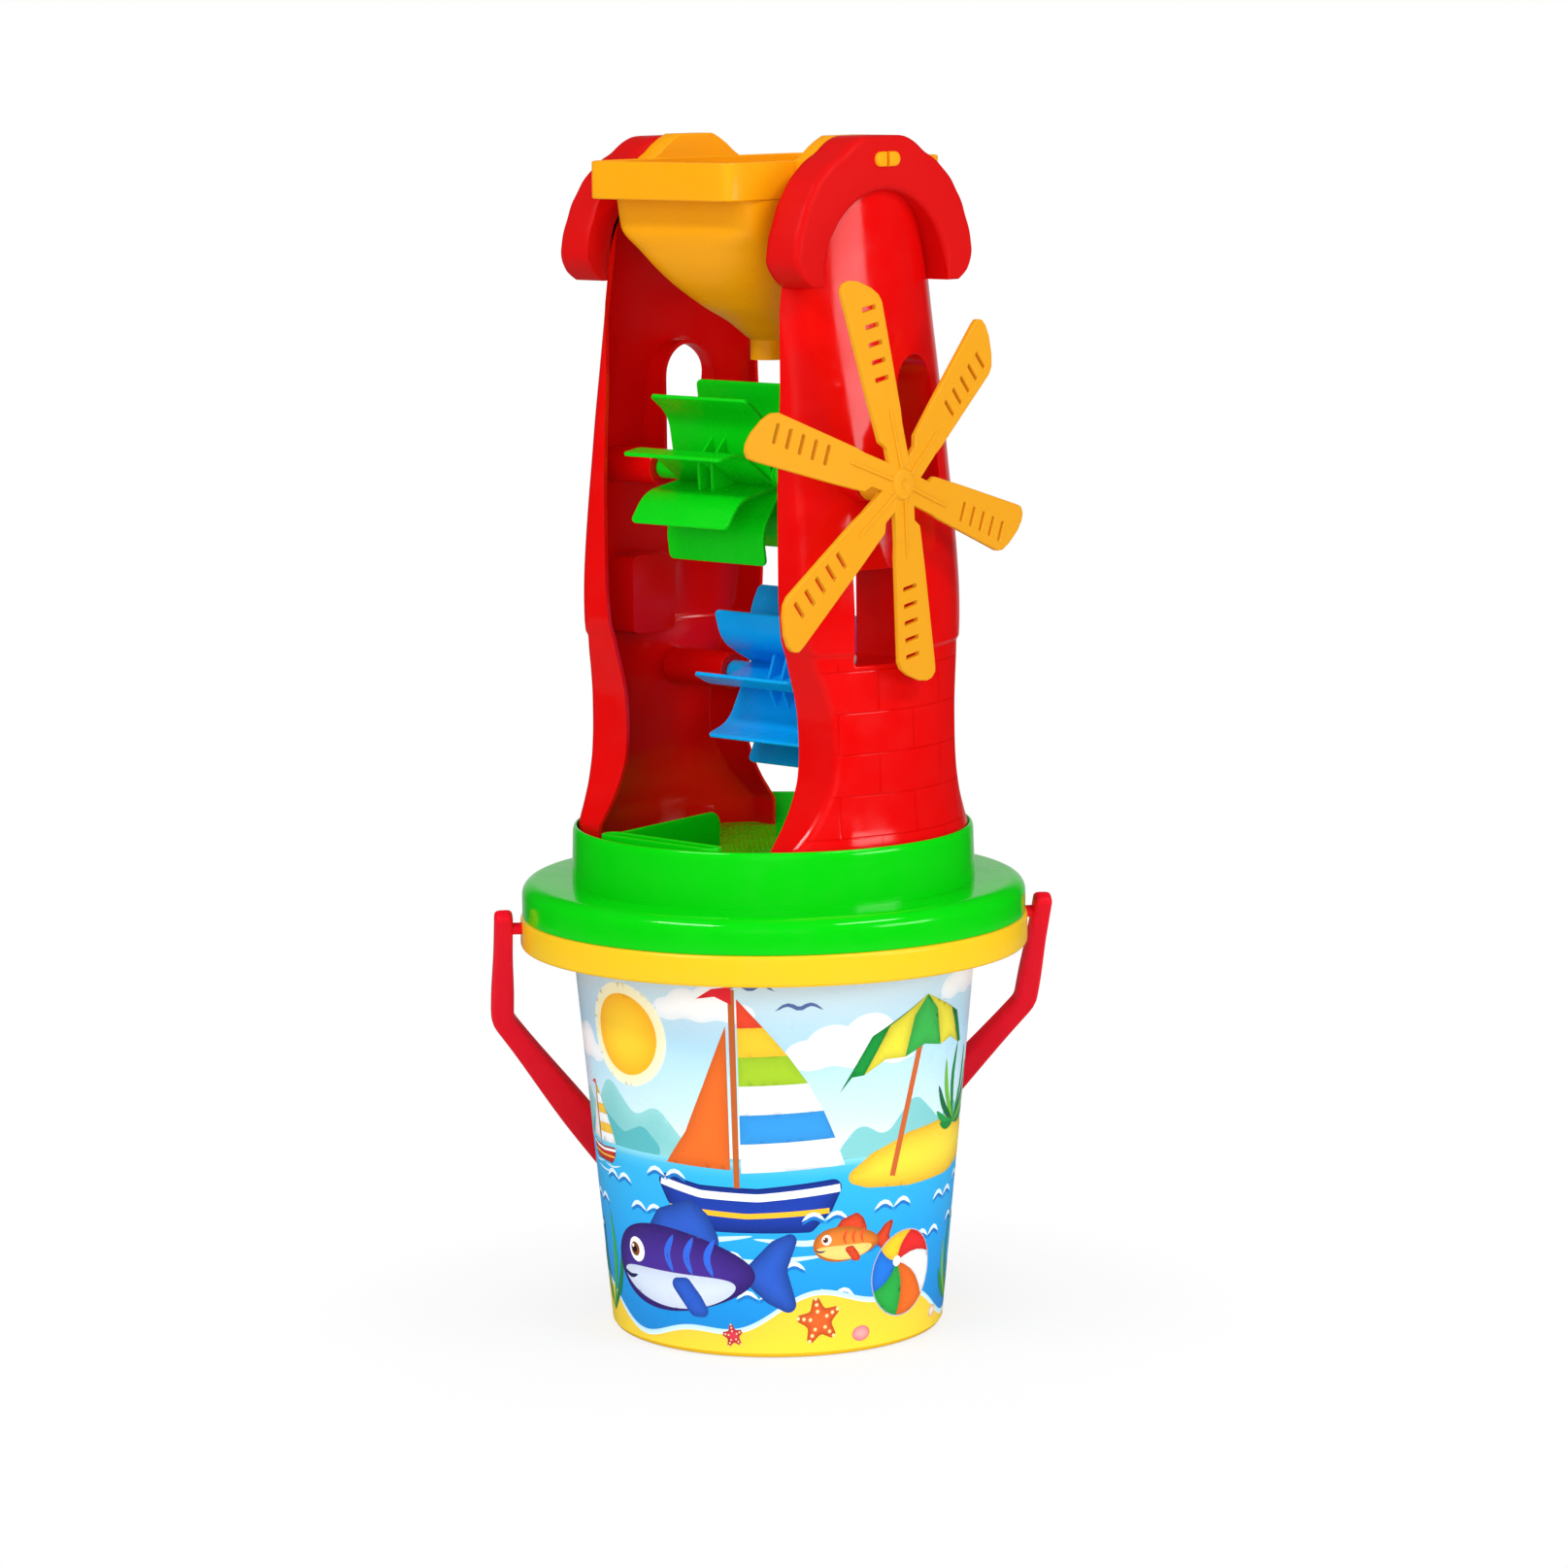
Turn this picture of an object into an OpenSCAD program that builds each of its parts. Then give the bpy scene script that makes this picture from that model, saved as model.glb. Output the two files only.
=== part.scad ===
// Sand wheel toy: a bucket with a sieve lid, and on the lid a mill tower in two
// half shells that holds a hopper, two paddle wheels and a set of turning sails.
// Millimetres, +Z up, origin at the middle of the bucket's base, sails towards -Y.

/* [Bucket] */
// Radius of the base
base_r = 66.5; // [40:0.5:75]
// Rounding of the base's edge
base_round = 2.5; // [0.5:0.25:5]
// Radius of the wall just under the rim
wall_top_r = 82; // [76:0.5:88]
// Height of the bucket with its rim
bucket_h = 167.8; // [120:0.2:260]
// Thickness of the bucket's wall
bucket_wall = 1.8; // [1.2:0.1:3]
// Thickness of the bucket's floor
bucket_floor = 2.4; // [1.5:0.1:5]
// Outer radius of the rim
rim_r = 102; // [92:0.5:110]
// Height of the rim's skirt
rim_drop = 12.5; // [10:0.1:24]
// Rounding of the skirt's lower edge
rim_round = 3; // [2:0.25:5]
// Thickness of the printed skin on the wall
label_t = 0.3; // [0.15:0.05:0.6]
// Bare strip of wall under the printed skin
label_foot = 2; // [0.5:0.25:20]

/* [Bucket handle] */
// Radius of the pivot pins
pin_r = 2.4; // [1.5:0.1:2.6]
// Depth of a pivot pin in its block behind the rim
pin_l = 3.5; // [2:0.1:5]
// Depth of the pivots below the top of the rim
pin_drop = 3.8; // [3.3:0.1:6]
// Direction of the pivots, in degrees from the X axis
handle_turn = -39; // [-89:1:89]
// Gap between the rim and a leg at its upper end
leg_gap = 3.8; // [1:0.1:12]
// Width of a leg at its upper end
leg_w = 7.4; // [6:0.2:11]
// Width of the shoulders and the grip
shoulder_w = 9.4; // [6:0.2:12]
// Thickness of the bar
bar_t = 7; // [6:0.25:10]
// How far a leg's end stands past its pivot
leg_end = 8.5; // [4:0.25:10]
// How far a leg comes in from its pivot to its knee
knee_in = 1.5; // [0:0.1:3]
// Length of the straight leg below the pivot
leg_l = 50; // [30:1:80]
// Distance from the pivots to the middle of the grip
handle_l = 140; // [120:1:150]
// Half the length of the grip
grip_half = 58; // [40:1:80]
// How much wider the shoulders are at the grip than at the knees
shoulder_flare = 8; // [0:0.5:12]
// Gap between the hanging handle's grip and the printed wall it leans on
rest_gap = 2.4; // [0.8:0.1:6]

/* [Sieve lid] */
// Step from the bucket's rim in to the lid's flange
lid_step = 0.8; // [0.2:0.1:3]
// Height of the lid's flange
lid_flange_h = 14.2; // [6:0.1:16]
// Rounding of the flange's shoulder
lid_round = 5; // [1:0.25:5.5]
// Outer radius of the collar that holds the tower
collar_r = 80.4; // [76:0.2:86]
// Height of the collar's top above the bucket's rim
collar_h = 36.4; // [26:0.2:45]
// Thickness of the lid's walls
lid_wall = 1.6; // [1.2:0.1:1.8]
// Height of the sieve's upper face above the bucket's rim
sieve_h = 24.2; // [16:0.2:25]
// Thickness of the sieve
sieve_t = 1.6; // [1:0.1:3]
// Distance from hole to hole of the sieve
sieve_pitch = 8; // [6:0.5:14]
// Width of a sieve hole
sieve_hole = 4.6; // [3:0.1:5]
// Radius of the sieve's pierced field
sieve_field_r = 64; // [40:1:68]
// Depth of the plug that enters the bucket
plug_h = 8; // [4:0.25:14]
// Half the length of each guide loop
loop_half = 31; // [15:0.5:34]
// Distance from the middle to the guide loops' inner edge
loop_in = 60; // [57:0.5:62]
// Width of a guide loop
loop_w = 9; // [6:0.5:10]
// Height of a guide loop above the sieve
loop_h = 12.6; // [4:0.2:16]
// Distance from the middle to the guide walls
guide_y = 30; // [20:0.5:40]
// Length of a guide wall
guide_l = 60; // [30:1:62]
// Height of a guide wall above the sieve at its inner end
guide_h = 14; // [6:0.5:20]

/* [Tower shells] */
// Height of a shell from the sieve to the top of its roof
shell_h = 286; // [270:0.5:330]
// Radius of a shell at its ledge
shell_r = 75.8; // [75:0.1:76]
// Half the width of a shell's face
shell_half_w = 44; // [42:0.5:47]
// Distance from the middle to a shell's open edge
shell_edge_y = 47; // [46:0.25:50]
// Thickness of a shell's wall
shell_wall = 1.8; // [1.4:0.1:2.4]
// Distance from the middle to the roof's flat face
roof_face_y = 63.5; // [63:0.5:68]
// Half the width of the roof
roof_half_w = 52; // [48:0.5:54]
// Height of the roof
roof_h = 57; // [54:0.5:62]
// Radius of the roof's arch
roof_arch_r = 36; // [33:0.5:40]
// Width of the arched window
arch_w = 26; // [20:0.5:28]
// Height of the arched window
arch_h = 53; // [40:0.5:56]
// Height of the arched window's sill above the sieve
arch_sill = 148; // [138:0.5:152]
// Distance from the middle to the arched window's centre line
arch_x = 13.6; // [13.4:0.2:15]
// Width of the square window
square_w = 29; // [16:0.5:30]
// Height of the square window
square_h = 37; // [20:0.5:38]
// Height of the square window's sill above the sieve
square_sill = 83; // [82:0.5:86]
// Distance from the middle to the square window's centre line
square_x = -13; // [-15:0.5:-10]
// Distance from the rear shell's open edge to its window's reveal; the front ones end at the edge
reveal_d = 10; // [4:0.5:12]
// Width of the blind niche in the rear shell
niche_w = 20.5; // [12:0.5:24]
// Height of the blind niche
niche_h = 28; // [20:0.5:38]
// Height of the blind niche's sill above the sieve
niche_sill = 87; // [83:0.5:92]
// Distance from the middle to the blind niche's centre line
niche_x = -7; // [-10:0.5:-5]
// Width of a snap tab under a shell's foot
tab_w = 12; // [6:0.5:16]

/* [Hopper] */
// Half the length of the hopper's mouth
mouth_half_l = 62.5; // [58:0.5:72]
// Half the width of the hopper's mouth
mouth_half_w = 38.5; // [30:0.5:39]
// Height of the band round the mouth
band_h = 14.8; // [8:0.1:20]
// Distance from the top of the roof down to the top of the band
band_drop = 9.2; // [8.5:0.1:14]
// Height of the funnel below the band
funnel_h = 64.5; // [60:0.5:66]
// Radius of the spout
spout_r = 7; // [5:0.25:8]
// Thickness of the hopper's wall
hopper_wall = 1.6; // [1.2:0.1:2.2]
// Radius of a lobe of the split studs that hold the roofs
stud_r = 3.2; // [2:0.1:3.4]
// Gap between the two lobes of a stud
stud_gap = 1.4; // [0.6:0.1:2]

/* [Paddle wheels] */
// Radius to a paddle's tip
wheel_r = 36; // [30:0.25:37]
// Half the width of a paddle wheel
wheel_half_w = 26; // [16:0.5:40]
// Number of paddles on a wheel
paddles = 8; // [4:1:10]
// Thickness of a paddle
paddle_t = 1.5; // [1:0.1:2.5]
// Radius of the tube in the middle of a wheel
hub_r = 5; // [4.4:0.1:6]
// Radius of the journals that turn in the shells
journal_r = 3.8; // [3:0.1:4.2]
// Radial clearance of a journal in its bearing
journal_gap = 0.08; // [0.03:0.01:0.1]
// Radius of the two stiffening discs on a wheel
disc_r = 16.5; // [8:0.5:18]
// Distance of the upper wheel's axis from the middle
upper_x = 22; // [20:0.5:22.5]
// Distance of the lower wheel's axis from the middle
lower_x = 17.5; // [16.5:0.5:22]
// Height of the upper wheel's axis above the sieve
upper_axis = 154.3; // [153:0.1:156]
// Height of the lower wheel's axis above the sieve
lower_axis = 68.3; // [66:0.1:70]

/* [Sails] */
// Radius of the sails
sail_r = 81; // [60:1:92]
// Number of blades
blades = 6; // [3:1:8]
// Thickness of a blade
blade_t = 2.4; // [1.6:0.1:4]
// Distance from the shell's ledge out to the back of the blades' roots
sail_off = 12.6; // [10:0.1:18]
// How far the blades lean back towards the tower, in degrees
sail_cone = 5.3; // [0:0.1:7]
// Radius of the boss in the middle of the sails
boss_r = 7; // [5.5:0.25:7.4]
// Width of a blade near its tip
blade_w = 20.8; // [16:0.1:26]
// Number of slots in a blade
slots = 5; // [1:1:5]
// Turn of the first blade from upright, in degrees
sail_turn = -9.2; // [-60:0.1:60]

/* [Hidden] */
$fn = 96;
over = 1;
seat_gap = 0.2;
pin_gap = 0.08;

// Levels and radii that several pieces share
sieve_z = bucket_h + sieve_h;
shell_top = sieve_z + shell_h;
upper_z = sieve_z + upper_axis;
lower_z = sieve_z + lower_axis;
wall_slope = (wall_top_r - base_r) / bucket_h;
function wall_r(z) = base_r + wall_slope * z;

// Corners of a quarter round of radius r about (cx, cy), from angle a to angle b
round_steps = 6;
function arc(cx, cy, r, a, b, n = round_steps) =
    [for (i = [0:n]) let (t = a + (b - a) * i / n) [cx + r * cos(t), cy + r * sin(t)]];

// Bucket: the pivots' blocks behind the rim's skirt
rim_t = bucket_wall;
top_round = rim_round * 0.6;
pin_z = bucket_h - pin_drop;
block_half = 5.5;
block_in = rim_r - pin_l - pin_r;

module bucket_section() {
    skirt_in = rim_r - rim_t;
    skirt_z = bucket_h - rim_drop;
    polygon(concat(
        [[0, 0]], arc(wall_r(base_round) - base_round, base_round, base_round, -90, 0),
        [[wall_r(bucket_h - rim_t), bucket_h - rim_t], [skirt_in, bucket_h - rim_t]],
        [for (p = arc(rim_r - rim_round, skirt_z + rim_round, rim_round - rim_t, 0, -90)) p],
        [for (p = arc(rim_r - rim_round, skirt_z + rim_round, rim_round, -90, 0)) p],
        arc(rim_r - top_round, bucket_h - top_round, top_round, 0, 90),
        [[wall_r(bucket_h) - bucket_wall, bucket_h],
         [wall_r(bucket_floor) - bucket_wall, bucket_floor], [0, bucket_floor]]));
}

module at_pivots() for (side = [0, 180]) rotate([0, 0, handle_turn + side]) children();

module bucket() color("gold") difference() {
    union() {
        rotate_extrude() bucket_section();
        intersection() {
            at_pivots() translate([block_in, -block_half, bucket_h - rim_drop + rim_round])
                cube([rim_r - block_in, 2 * block_half, rim_drop - rim_round]);
            cylinder(r = rim_r - rim_t / 2, h = bucket_h);
        }
    }
    at_pivots() translate([block_in - over, 0, pin_z]) rotate([0, 90, 0])
        cylinder(r = pin_r + pin_gap, h = rim_r - block_in + 2 * over);
}

// The printed skin lies on the cone of the wall up to the rim's skirt
module bucket_label() color("skyblue") {
    low = label_foot;
    high = bucket_h - rim_drop;
    rotate_extrude() polygon([[wall_r(low), low], [wall_r(low) + label_t, low],
                              [wall_r(high) + label_t, high], [wall_r(high), high]]);
}

// The handle is drawn hanging straight down from its pivots, then leaned back
// until its grip rests beside the wall: each pass takes the wall's radius at the
// height where the pass before left the grip
leg_out = rim_r + leg_gap + leg_w / 2;
knee_out = leg_out - knee_in;
function grip_out(lean) = wall_r(pin_z - handle_l * cos(lean)) + label_t + rest_gap + bar_t / 2;
function lean_after(passes) = passes == 0 ? 35 : asin(grip_out(lean_after(passes - 1)) / handle_l);
handle_lean = lean_after(12);

module handle_outline() {
    half = shoulder_w / 2;
    end_half = leg_w / 2;
    slant = atan2(knee_out - grip_half, handle_l - leg_l);
    bend = half * tan(slant / 2);
    turn = half * tan((90 - slant) / 2);
    for (side = [0, 1]) mirror([side, 0])
        polygon([[leg_out + end_half, leg_end], [knee_out + half, -leg_l - bend],
                 [grip_half + turn, -handle_l - half], [0, -handle_l - half],
                 [0, -handle_l + half], [grip_half - turn - shoulder_flare, -handle_l + half],
                 [knee_out - half, -leg_l + bend], [leg_out - end_half, leg_end]]);
}

module bucket_handle() color("crimson")
    translate([0, 0, pin_z]) rotate([0, 0, handle_turn]) rotate([handle_lean, 0, 0]) {
        rotate([90, 0, 0]) translate([0, 0, -bar_t / 2]) linear_extrude(bar_t) handle_outline();
        for (side = [0, 180]) rotate([0, 0, side]) translate([rim_r - pin_l, 0, 0])
            rotate([0, 90, 0]) cylinder(r = pin_r, h = leg_out - rim_r + pin_l);
    }

// Sieve lid: plug, flange, collar and pierced floor in one turning
collar_in = collar_r - lid_wall;
lid_r = rim_r - lid_step;
plug_r = wall_r(bucket_h - plug_h) - bucket_wall - seat_gap;
flange_z = bucket_h + lid_flange_h;
collar_z = bucket_h + collar_h;
collar_round = lid_wall / 2;

module lid_section() {
    skirt_in = lid_r - lid_wall;
    shoulder = lid_round - lid_wall;
    polygon(concat(
        [[0, sieve_z - sieve_t], [plug_r - lid_wall, sieve_z - sieve_t],
         [plug_r - lid_wall, bucket_h - plug_h], [plug_r, bucket_h - plug_h],
         [plug_r, flange_z - lid_wall]],
        arc(lid_r - lid_round, flange_z - lid_round, shoulder, 90, 0),
        [[skirt_in, bucket_h], [lid_r, bucket_h]],
        arc(lid_r - lid_round, flange_z - lid_round, lid_round, 0, 90),
        [[collar_r, flange_z]],
        arc(collar_r - collar_round, collar_z - collar_round, collar_round, 0, 180),
        [[collar_in, sieve_z], [0, sieve_z]]));
}

module sieve_holes() {
    reach = floor(sieve_field_r / sieve_pitch);
    for (i = [-reach:reach], j = [-reach:reach])
        if (norm([i, j]) * sieve_pitch + sieve_hole / 2 < sieve_field_r)
            translate([i * sieve_pitch, j * sieve_pitch]) square(sieve_hole, center = true);
}

// Oblong loop with round ends, drawn about the middle of its inner edge
module loop_plan(inset) {
    r = loop_w / 2 - inset;
    half = loop_half - loop_w / 2;
    for (s = [-1, 1]) translate([loop_in + loop_w / 2, s * half]) circle(r = r, $fn = 48);
    translate([loop_in + inset, -half]) square([2 * r, 2 * half]);
}

module guide_wall() {
    end_r = guide_h / 3;
    rotate([90, 0, 0]) linear_extrude(lid_wall, center = true)
        polygon(concat([[-guide_l, 0], [0, 0]], arc(-end_r, guide_h - end_r, end_r, 0, 90),
                       [[-guide_l, guide_h * 0.86]]));
}

module sieve_lid() color("limegreen") difference() {
    union() {
        rotate_extrude() lid_section();
        translate([0, 0, sieve_z - over / 2]) {
            for (turn = [0, 180]) rotate([0, 0, turn]) {
                linear_extrude(loop_h + over / 2) difference() {
                    loop_plan(0);
                    loop_plan(lid_wall);
                }
                translate([0, guide_y, 0]) guide_wall();
            }
        }
    }
    translate([0, 0, sieve_z - sieve_t - over]) linear_extrude(sieve_t + over * 1.25) sieve_holes();
    at_tabs() translate([0, 0, sieve_z - sieve_t - over])
        linear_extrude(sieve_t + 2 * over)
            square([tab_w + 2 * seat_gap, tab_t + 2 * seat_gap], center = true);
}

// Tower shells: a turned form, cut to the outline of the face and open to the middle.
// Each row gives a share of the ledge's radius and a share of the shell's height.
turned_shares = [[1.034, 0], [1.034, 0.036], [1.018, 0.066], [1.006, 0.098], [1, 0.171],
                 [0.988, 0.304], [0.999, 0.311], [1, 0.332], [0.93, 0.577], [0.845, 0.78], [0.76, 1]];
// Each row gives a share of the face's half width and a share of the shell's height
face_shares = [[1.182, 0], [1.182, 0.036], [1.115, 0.052], [1.005, 0.074], [0.89, 0.105], [0.82, 0.136],
               [0.8, 0.168], [0.815, 0.215], [0.86, 0.25], [0.925, 0.282], [0.965, 0.304], [0.99, 0.309],
               [1.02, 0.325], [1.05, 0.4], [1.05, 0.5], [1.025, 0.6], [1, 0.68]];
// Each row gives a share of the roof's half width and a share of its height
roof_shares = [[0.22, 1], [0.43, 0.87], [0.646, 0.755], [0.796, 0.618], [0.915, 0.446],
               [0.99, 0.223], [0.98, 0.137], [0.82, 0]];
arch_mid = shell_top - roof_h;
roof_wall = shell_wall * 1.1;
tab_t = 2;
tab_h = sieve_t + 3;
tab_r = shell_r * turned_shares[0][0] - shell_wall - tab_t * 0.3;
tab_turn = 24;

module at_tabs() for (a = [-90 - tab_turn, -90 + tab_turn, 90 - tab_turn, 90 + tab_turn])
    rotate([0, 0, a]) translate([tab_r, 0, 0]) rotate([0, 0, 90]) children();

module turned_form(inset) rotate_extrude($fn = 128)
    polygon(concat([[0, sieve_z - (inset > 0 ? over : 0)]],
                   [for (p = turned_shares) [p[0] * shell_r - inset,
                    sieve_z + p[1] * shell_h - (p[1] == 0 && inset > 0 ? over : 0)]],
                   [[0, shell_top]]));

module face_outline(inset) {
    half = [for (p = face_shares) [p[0] * shell_half_w - inset,
            sieve_z + p[1] * shell_h - (p[1] == 0 && inset > 0 ? over : 0)]];
    back = [for (i = [len(half) - 1:-1:0]) [-half[i][0], half[i][1]]];
    polygon(concat(half, arc(0, arch_mid, shell_half_w - inset, 0, 180, 24), back));
}

// Stands an outline of X and Z up and carries it from y0 to y1, both towards -Y
module stand(y0, y1) translate([0, -y0, 0]) rotate([90, 0, 0]) linear_extrude(y1 - y0) children();

module shell_form(inset) intersection() {
    turned_form(inset);
    stand(shell_edge_y - (inset > 0 ? over : 0), shell_r * 1.2) face_outline(inset);
}

module roof_outline(inset) {
    base = shell_top - roof_h + inset;
    half = [for (p = roof_shares) [p[0] * roof_half_w - inset, base + p[1] * (roof_h - 2 * inset)]];
    back = [for (i = [len(half) - 1:-1:0]) [-half[i][0], half[i][1]]];
    difference() {
        polygon(concat(half, back));
        polygon(concat(arc(0, arch_mid, roof_arch_r + inset, 0, 180, 24),
                       [[-roof_arch_r - inset, base - inset - over],
                        [roof_arch_r + inset, base - inset - over]]));
    }
}

module arch_outline(grow) {
    r = arch_w / 2;
    sill = sieve_z + arch_sill;
    polygon(concat(arc(arch_x, sill + arch_h - r, r + grow, 0, 180, 16),
                   [[arch_x - r - grow, sill - grow], [arch_x + r + grow, sill - grow]]));
}

module oblong_outline(x, w, sill, h, grow) translate([x - w / 2 - grow, sieve_z + sill - grow])
    square([w + 2 * grow, h + 2 * grow]);

// The square window of the front shell, or the rear shell's niche in its place
module square_outline(front, grow) {
    if (front) oblong_outline(square_x, square_w, square_sill, square_h, grow);
    else oblong_outline(niche_x, niche_w, niche_sill, niche_h, grow);
}

boss_wall = 3.6;
boss_face_y = shell_edge_y - 9.5;
journal_end = shell_edge_y + 10;
pad_y = shell_r * 0.955;
sail_y = shell_r + sail_off;

module bearing(x, z, y1) translate([x, -boss_face_y, z]) rotate([90, 0, 0])
    cylinder(r = journal_r + journal_gap + boss_wall, h = y1 - boss_face_y);

module bearing_hole(x, z, y1) translate([x, -boss_face_y + over, z]) rotate([90, 0, 0])
    cylinder(r = journal_r + journal_gap, h = y1 - boss_face_y + over);

// One shell with its face towards -Y. A front shell has the square window and a
// bearing that is open at both ends; a rear one has a blind niche in its place.
module half_shell(front) {
    reveal_in = front ? shell_edge_y : shell_edge_y + reveal_d;
    niche_y = shell_edge_y + reveal_d * 1.3;
    stud_z = shell_top - stud_drop;
    difference() {
        union() {
            difference() {
                shell_form(0);
                shell_form(shell_wall);
            }
            difference() {
                stand(shell_edge_y, roof_face_y) roof_outline(0);
                stand(shell_edge_y - over, roof_face_y - roof_wall) roof_outline(roof_wall);
            }
            intersection() {
                shell_form(0);
                union() {
                    stand(reveal_in, shell_r * 1.1) arch_outline(shell_wall);
                    stand(front ? reveal_in : niche_y - shell_wall, shell_r * 1.1)
                        square_outline(front, shell_wall);
                    bearing(-upper_x, upper_z, shell_r * 1.1);
                    bearing(lower_x, lower_z, shell_r * 1.1);
                }
            }
            bearing(-upper_x, upper_z, front ? pad_y : shell_edge_y + over);
            bearing(lower_x, lower_z, shell_edge_y + over);
            intersection() {
                at_tabs() translate([0, 0, sieve_z - tab_h])
                    linear_extrude(tab_h + shell_h * 0.05)
                        square([tab_w, tab_t], center = true);
                translate([-shell_r, -shell_r * 1.1, 0]) cube([2 * shell_r, shell_r, shell_top]);
            }
        }
        stand(reveal_in - over, shell_r * 1.1) arch_outline(0);
        stand(front ? reveal_in - over : niche_y, shell_r * 1.1) square_outline(front, 0);
        bearing_hole(-upper_x, upper_z, front ? pad_y + over : journal_end + over);
        bearing_hole(lower_x, lower_z, journal_end + over);
        for (s = [-1, 1]) translate([s * stud_x, -roof_face_y - over, stud_z]) rotate([-90, 0, 0])
            cylinder(r = stud_r + seat_gap, h = roof_wall + 2 * over, $fn = 32);
    }
}

module front_shell() color("red") half_shell(true);
module rear_shell() color("red") mirror([0, 1, 0]) half_shell(false);

// Hopper: rings of rounded oblongs joined into one skin, with a block at each end
stud_drop = stud_r * 2.8;
stud_x = stud_r + stud_gap / 2;
band_z = shell_top - band_drop - band_h;
ring_points = 48;
// Each row gives shares of the mouth's half length and half width, a share of the
// funnel's height, and how square the ring is
funnel_shares = [[0.112, 0.187, 0.12, 2], [0.149, 0.237, 0.147, 2], [0.262, 0.362, 0.234, 2.2],
                 [0.442, 0.537, 0.34, 2.6], [0.63, 0.745, 0.504, 3.5], [0.744, 0.893, 0.674, 5],
                 [0.803, 0.979, 0.823, 10], [0.809, 0.985, 1, 10]];

function ring(a, b, z, k) = [for (i = [0:ring_points - 1])
    let (t = 360 * i / ring_points, c = cos(t), s = sin(t),
         m = pow(pow(abs(c), k) + pow(abs(s), k), -1 / k)) [a * m * c, b * m * s, z]];

module ring_skin(rings) {
    n = ring_points;
    count = len(rings);
    points = [for (r = rings) for (p = r) p];
    faces = [for (i = [0:count - 1]) for (j = [0:n - 1])
        let (a = i * n + j, b = i * n + (j + 1) % n,
             c = ((i + 1) % count) * n + (j + 1) % n, d = ((i + 1) % count) * n + j)
        for (f = [[a, c, b], [a, d, c]]) f];
    polyhedron(points = points, faces = faces);
}

module hopper_skin() {
    w = hopper_wall;
    low = band_z - funnel_h;
    square_k = 16;
    outer = concat([ring(spout_r, spout_r, low, 2)],
        [for (f = funnel_shares) ring(f[0] * mouth_half_l, f[1] * mouth_half_w, low + f[2] * funnel_h, f[3])],
        [ring(mouth_half_l, mouth_half_w, band_z, square_k),
         ring(mouth_half_l, mouth_half_w, band_z + band_h, square_k)]);
    inner = concat([ring(mouth_half_l - w, mouth_half_w - w, band_z + band_h, square_k),
                    ring(mouth_half_l - w, mouth_half_w - w, band_z + w, square_k)],
        [for (i = [len(funnel_shares) - 1:-1:0]) let (f = funnel_shares[i])
            ring(f[0] * mouth_half_l - w, f[1] * mouth_half_w - w,
                 low + f[2] * funnel_h + (i == len(funnel_shares) - 1 ? w : 0), f[3])],
        [ring(spout_r - w, spout_r - w, low, 2)]);
    ring_skin(concat(outer, inner));
}

module end_block() {
    flat = mouth_half_l * 0.15;
    shoulder = mouth_half_l * 0.28;
    wide = mouth_half_l * 0.4;
    stand(mouth_half_w - hopper_wall / 2, shell_edge_y - seat_gap)
        polygon([[-flat, shell_top], [flat, shell_top], [shoulder, shell_top - band_drop * 0.4],
                 [wide, band_z + band_h], [wide, band_z], [-wide, band_z], [-wide, band_z + band_h],
                 [-shoulder, shell_top - band_drop * 0.4]]);
    for (s = [-1, 1]) translate([s * stud_x, -shell_edge_y + over, shell_top - stud_drop])
        rotate([90, 0, 0]) cylinder(r = stud_r, h = roof_face_y - shell_edge_y + over * 2.4, $fn = 32);
}

module hopper() color("orange") {
    hopper_skin();
    for (s = [0, 1]) mirror([0, s, 0]) end_block();
}

// Paddle wheels: a cupped paddle leaves the hub's side, bends and ends in a lip
bend_r = wheel_r * 2 / 3;
lip_turn = 44;
lip_l = wheel_r * 0.38;
disc_t = 1.5;
disc_y = 3.5;
hub_end = boss_face_y - 0.5;

// Points along the middle of a paddle, from the hub out to the tip
function paddle_line() =
    let (inner = sqrt(bend_r * bend_r - hub_r * hub_r), soft = lip_l * 0.45,
         r = soft / tan(lip_turn / 2), start = inner - soft, x = hub_r - paddle_t / 2)
    concat([[x, 0]], [for (i = [0:5]) let (t = lip_turn * i / 5) [x + r * (1 - cos(t)), start + r * sin(t)]],
           [[x + lip_l * sin(lip_turn), inner + lip_l * cos(lip_turn)]]);

// Moves each point of a line sideways by d
function beside(line, d) = [for (i = [0:len(line) - 1])
    let (a = line[max(i - 1, 0)], b = line[min(i + 1, len(line) - 1)],
         t = (b - a) / norm(b - a)) line[i] + d * [t[1], -t[0]]];

function backwards(list) = [for (i = [len(list) - 1:-1:0]) list[i]];

module paddle_plan() polygon(concat(beside(paddle_line(), paddle_t / 2),
                                    backwards(beside(paddle_line(), -paddle_t / 2))));

// A wheel on the Y axis, its front towards -Y; the lips point against the clock
module paddle_wheel(front_end) difference() {
    union() {
        rotate([90, 0, 0]) {
            linear_extrude(2 * wheel_half_w, center = true)
                for (i = [0:paddles - 1]) rotate(i * 360 / paddles) mirror([1, 0]) paddle_plan();
            cylinder(r = hub_r, h = 2 * wheel_half_w + 2, center = true);
            cylinder(r = hub_r * 0.88, h = 2 * hub_end, center = true);
            translate([0, 0, -journal_end]) cylinder(r = journal_r, h = journal_end + front_end);
            for (s = [-1, 1]) translate([0, 0, s * disc_y]) rotate(90 + asin((hub_r - paddle_t / 2) / disc_r))
                cylinder(r = disc_r, h = disc_t, center = true, $fn = paddles);
        }
    }
    if (front_end > journal_end) translate([0, -front_end - over, 0]) rotate([-90, 0, 0])
        cylinder(r = stub_r, h = stub_l + over);
}

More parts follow.
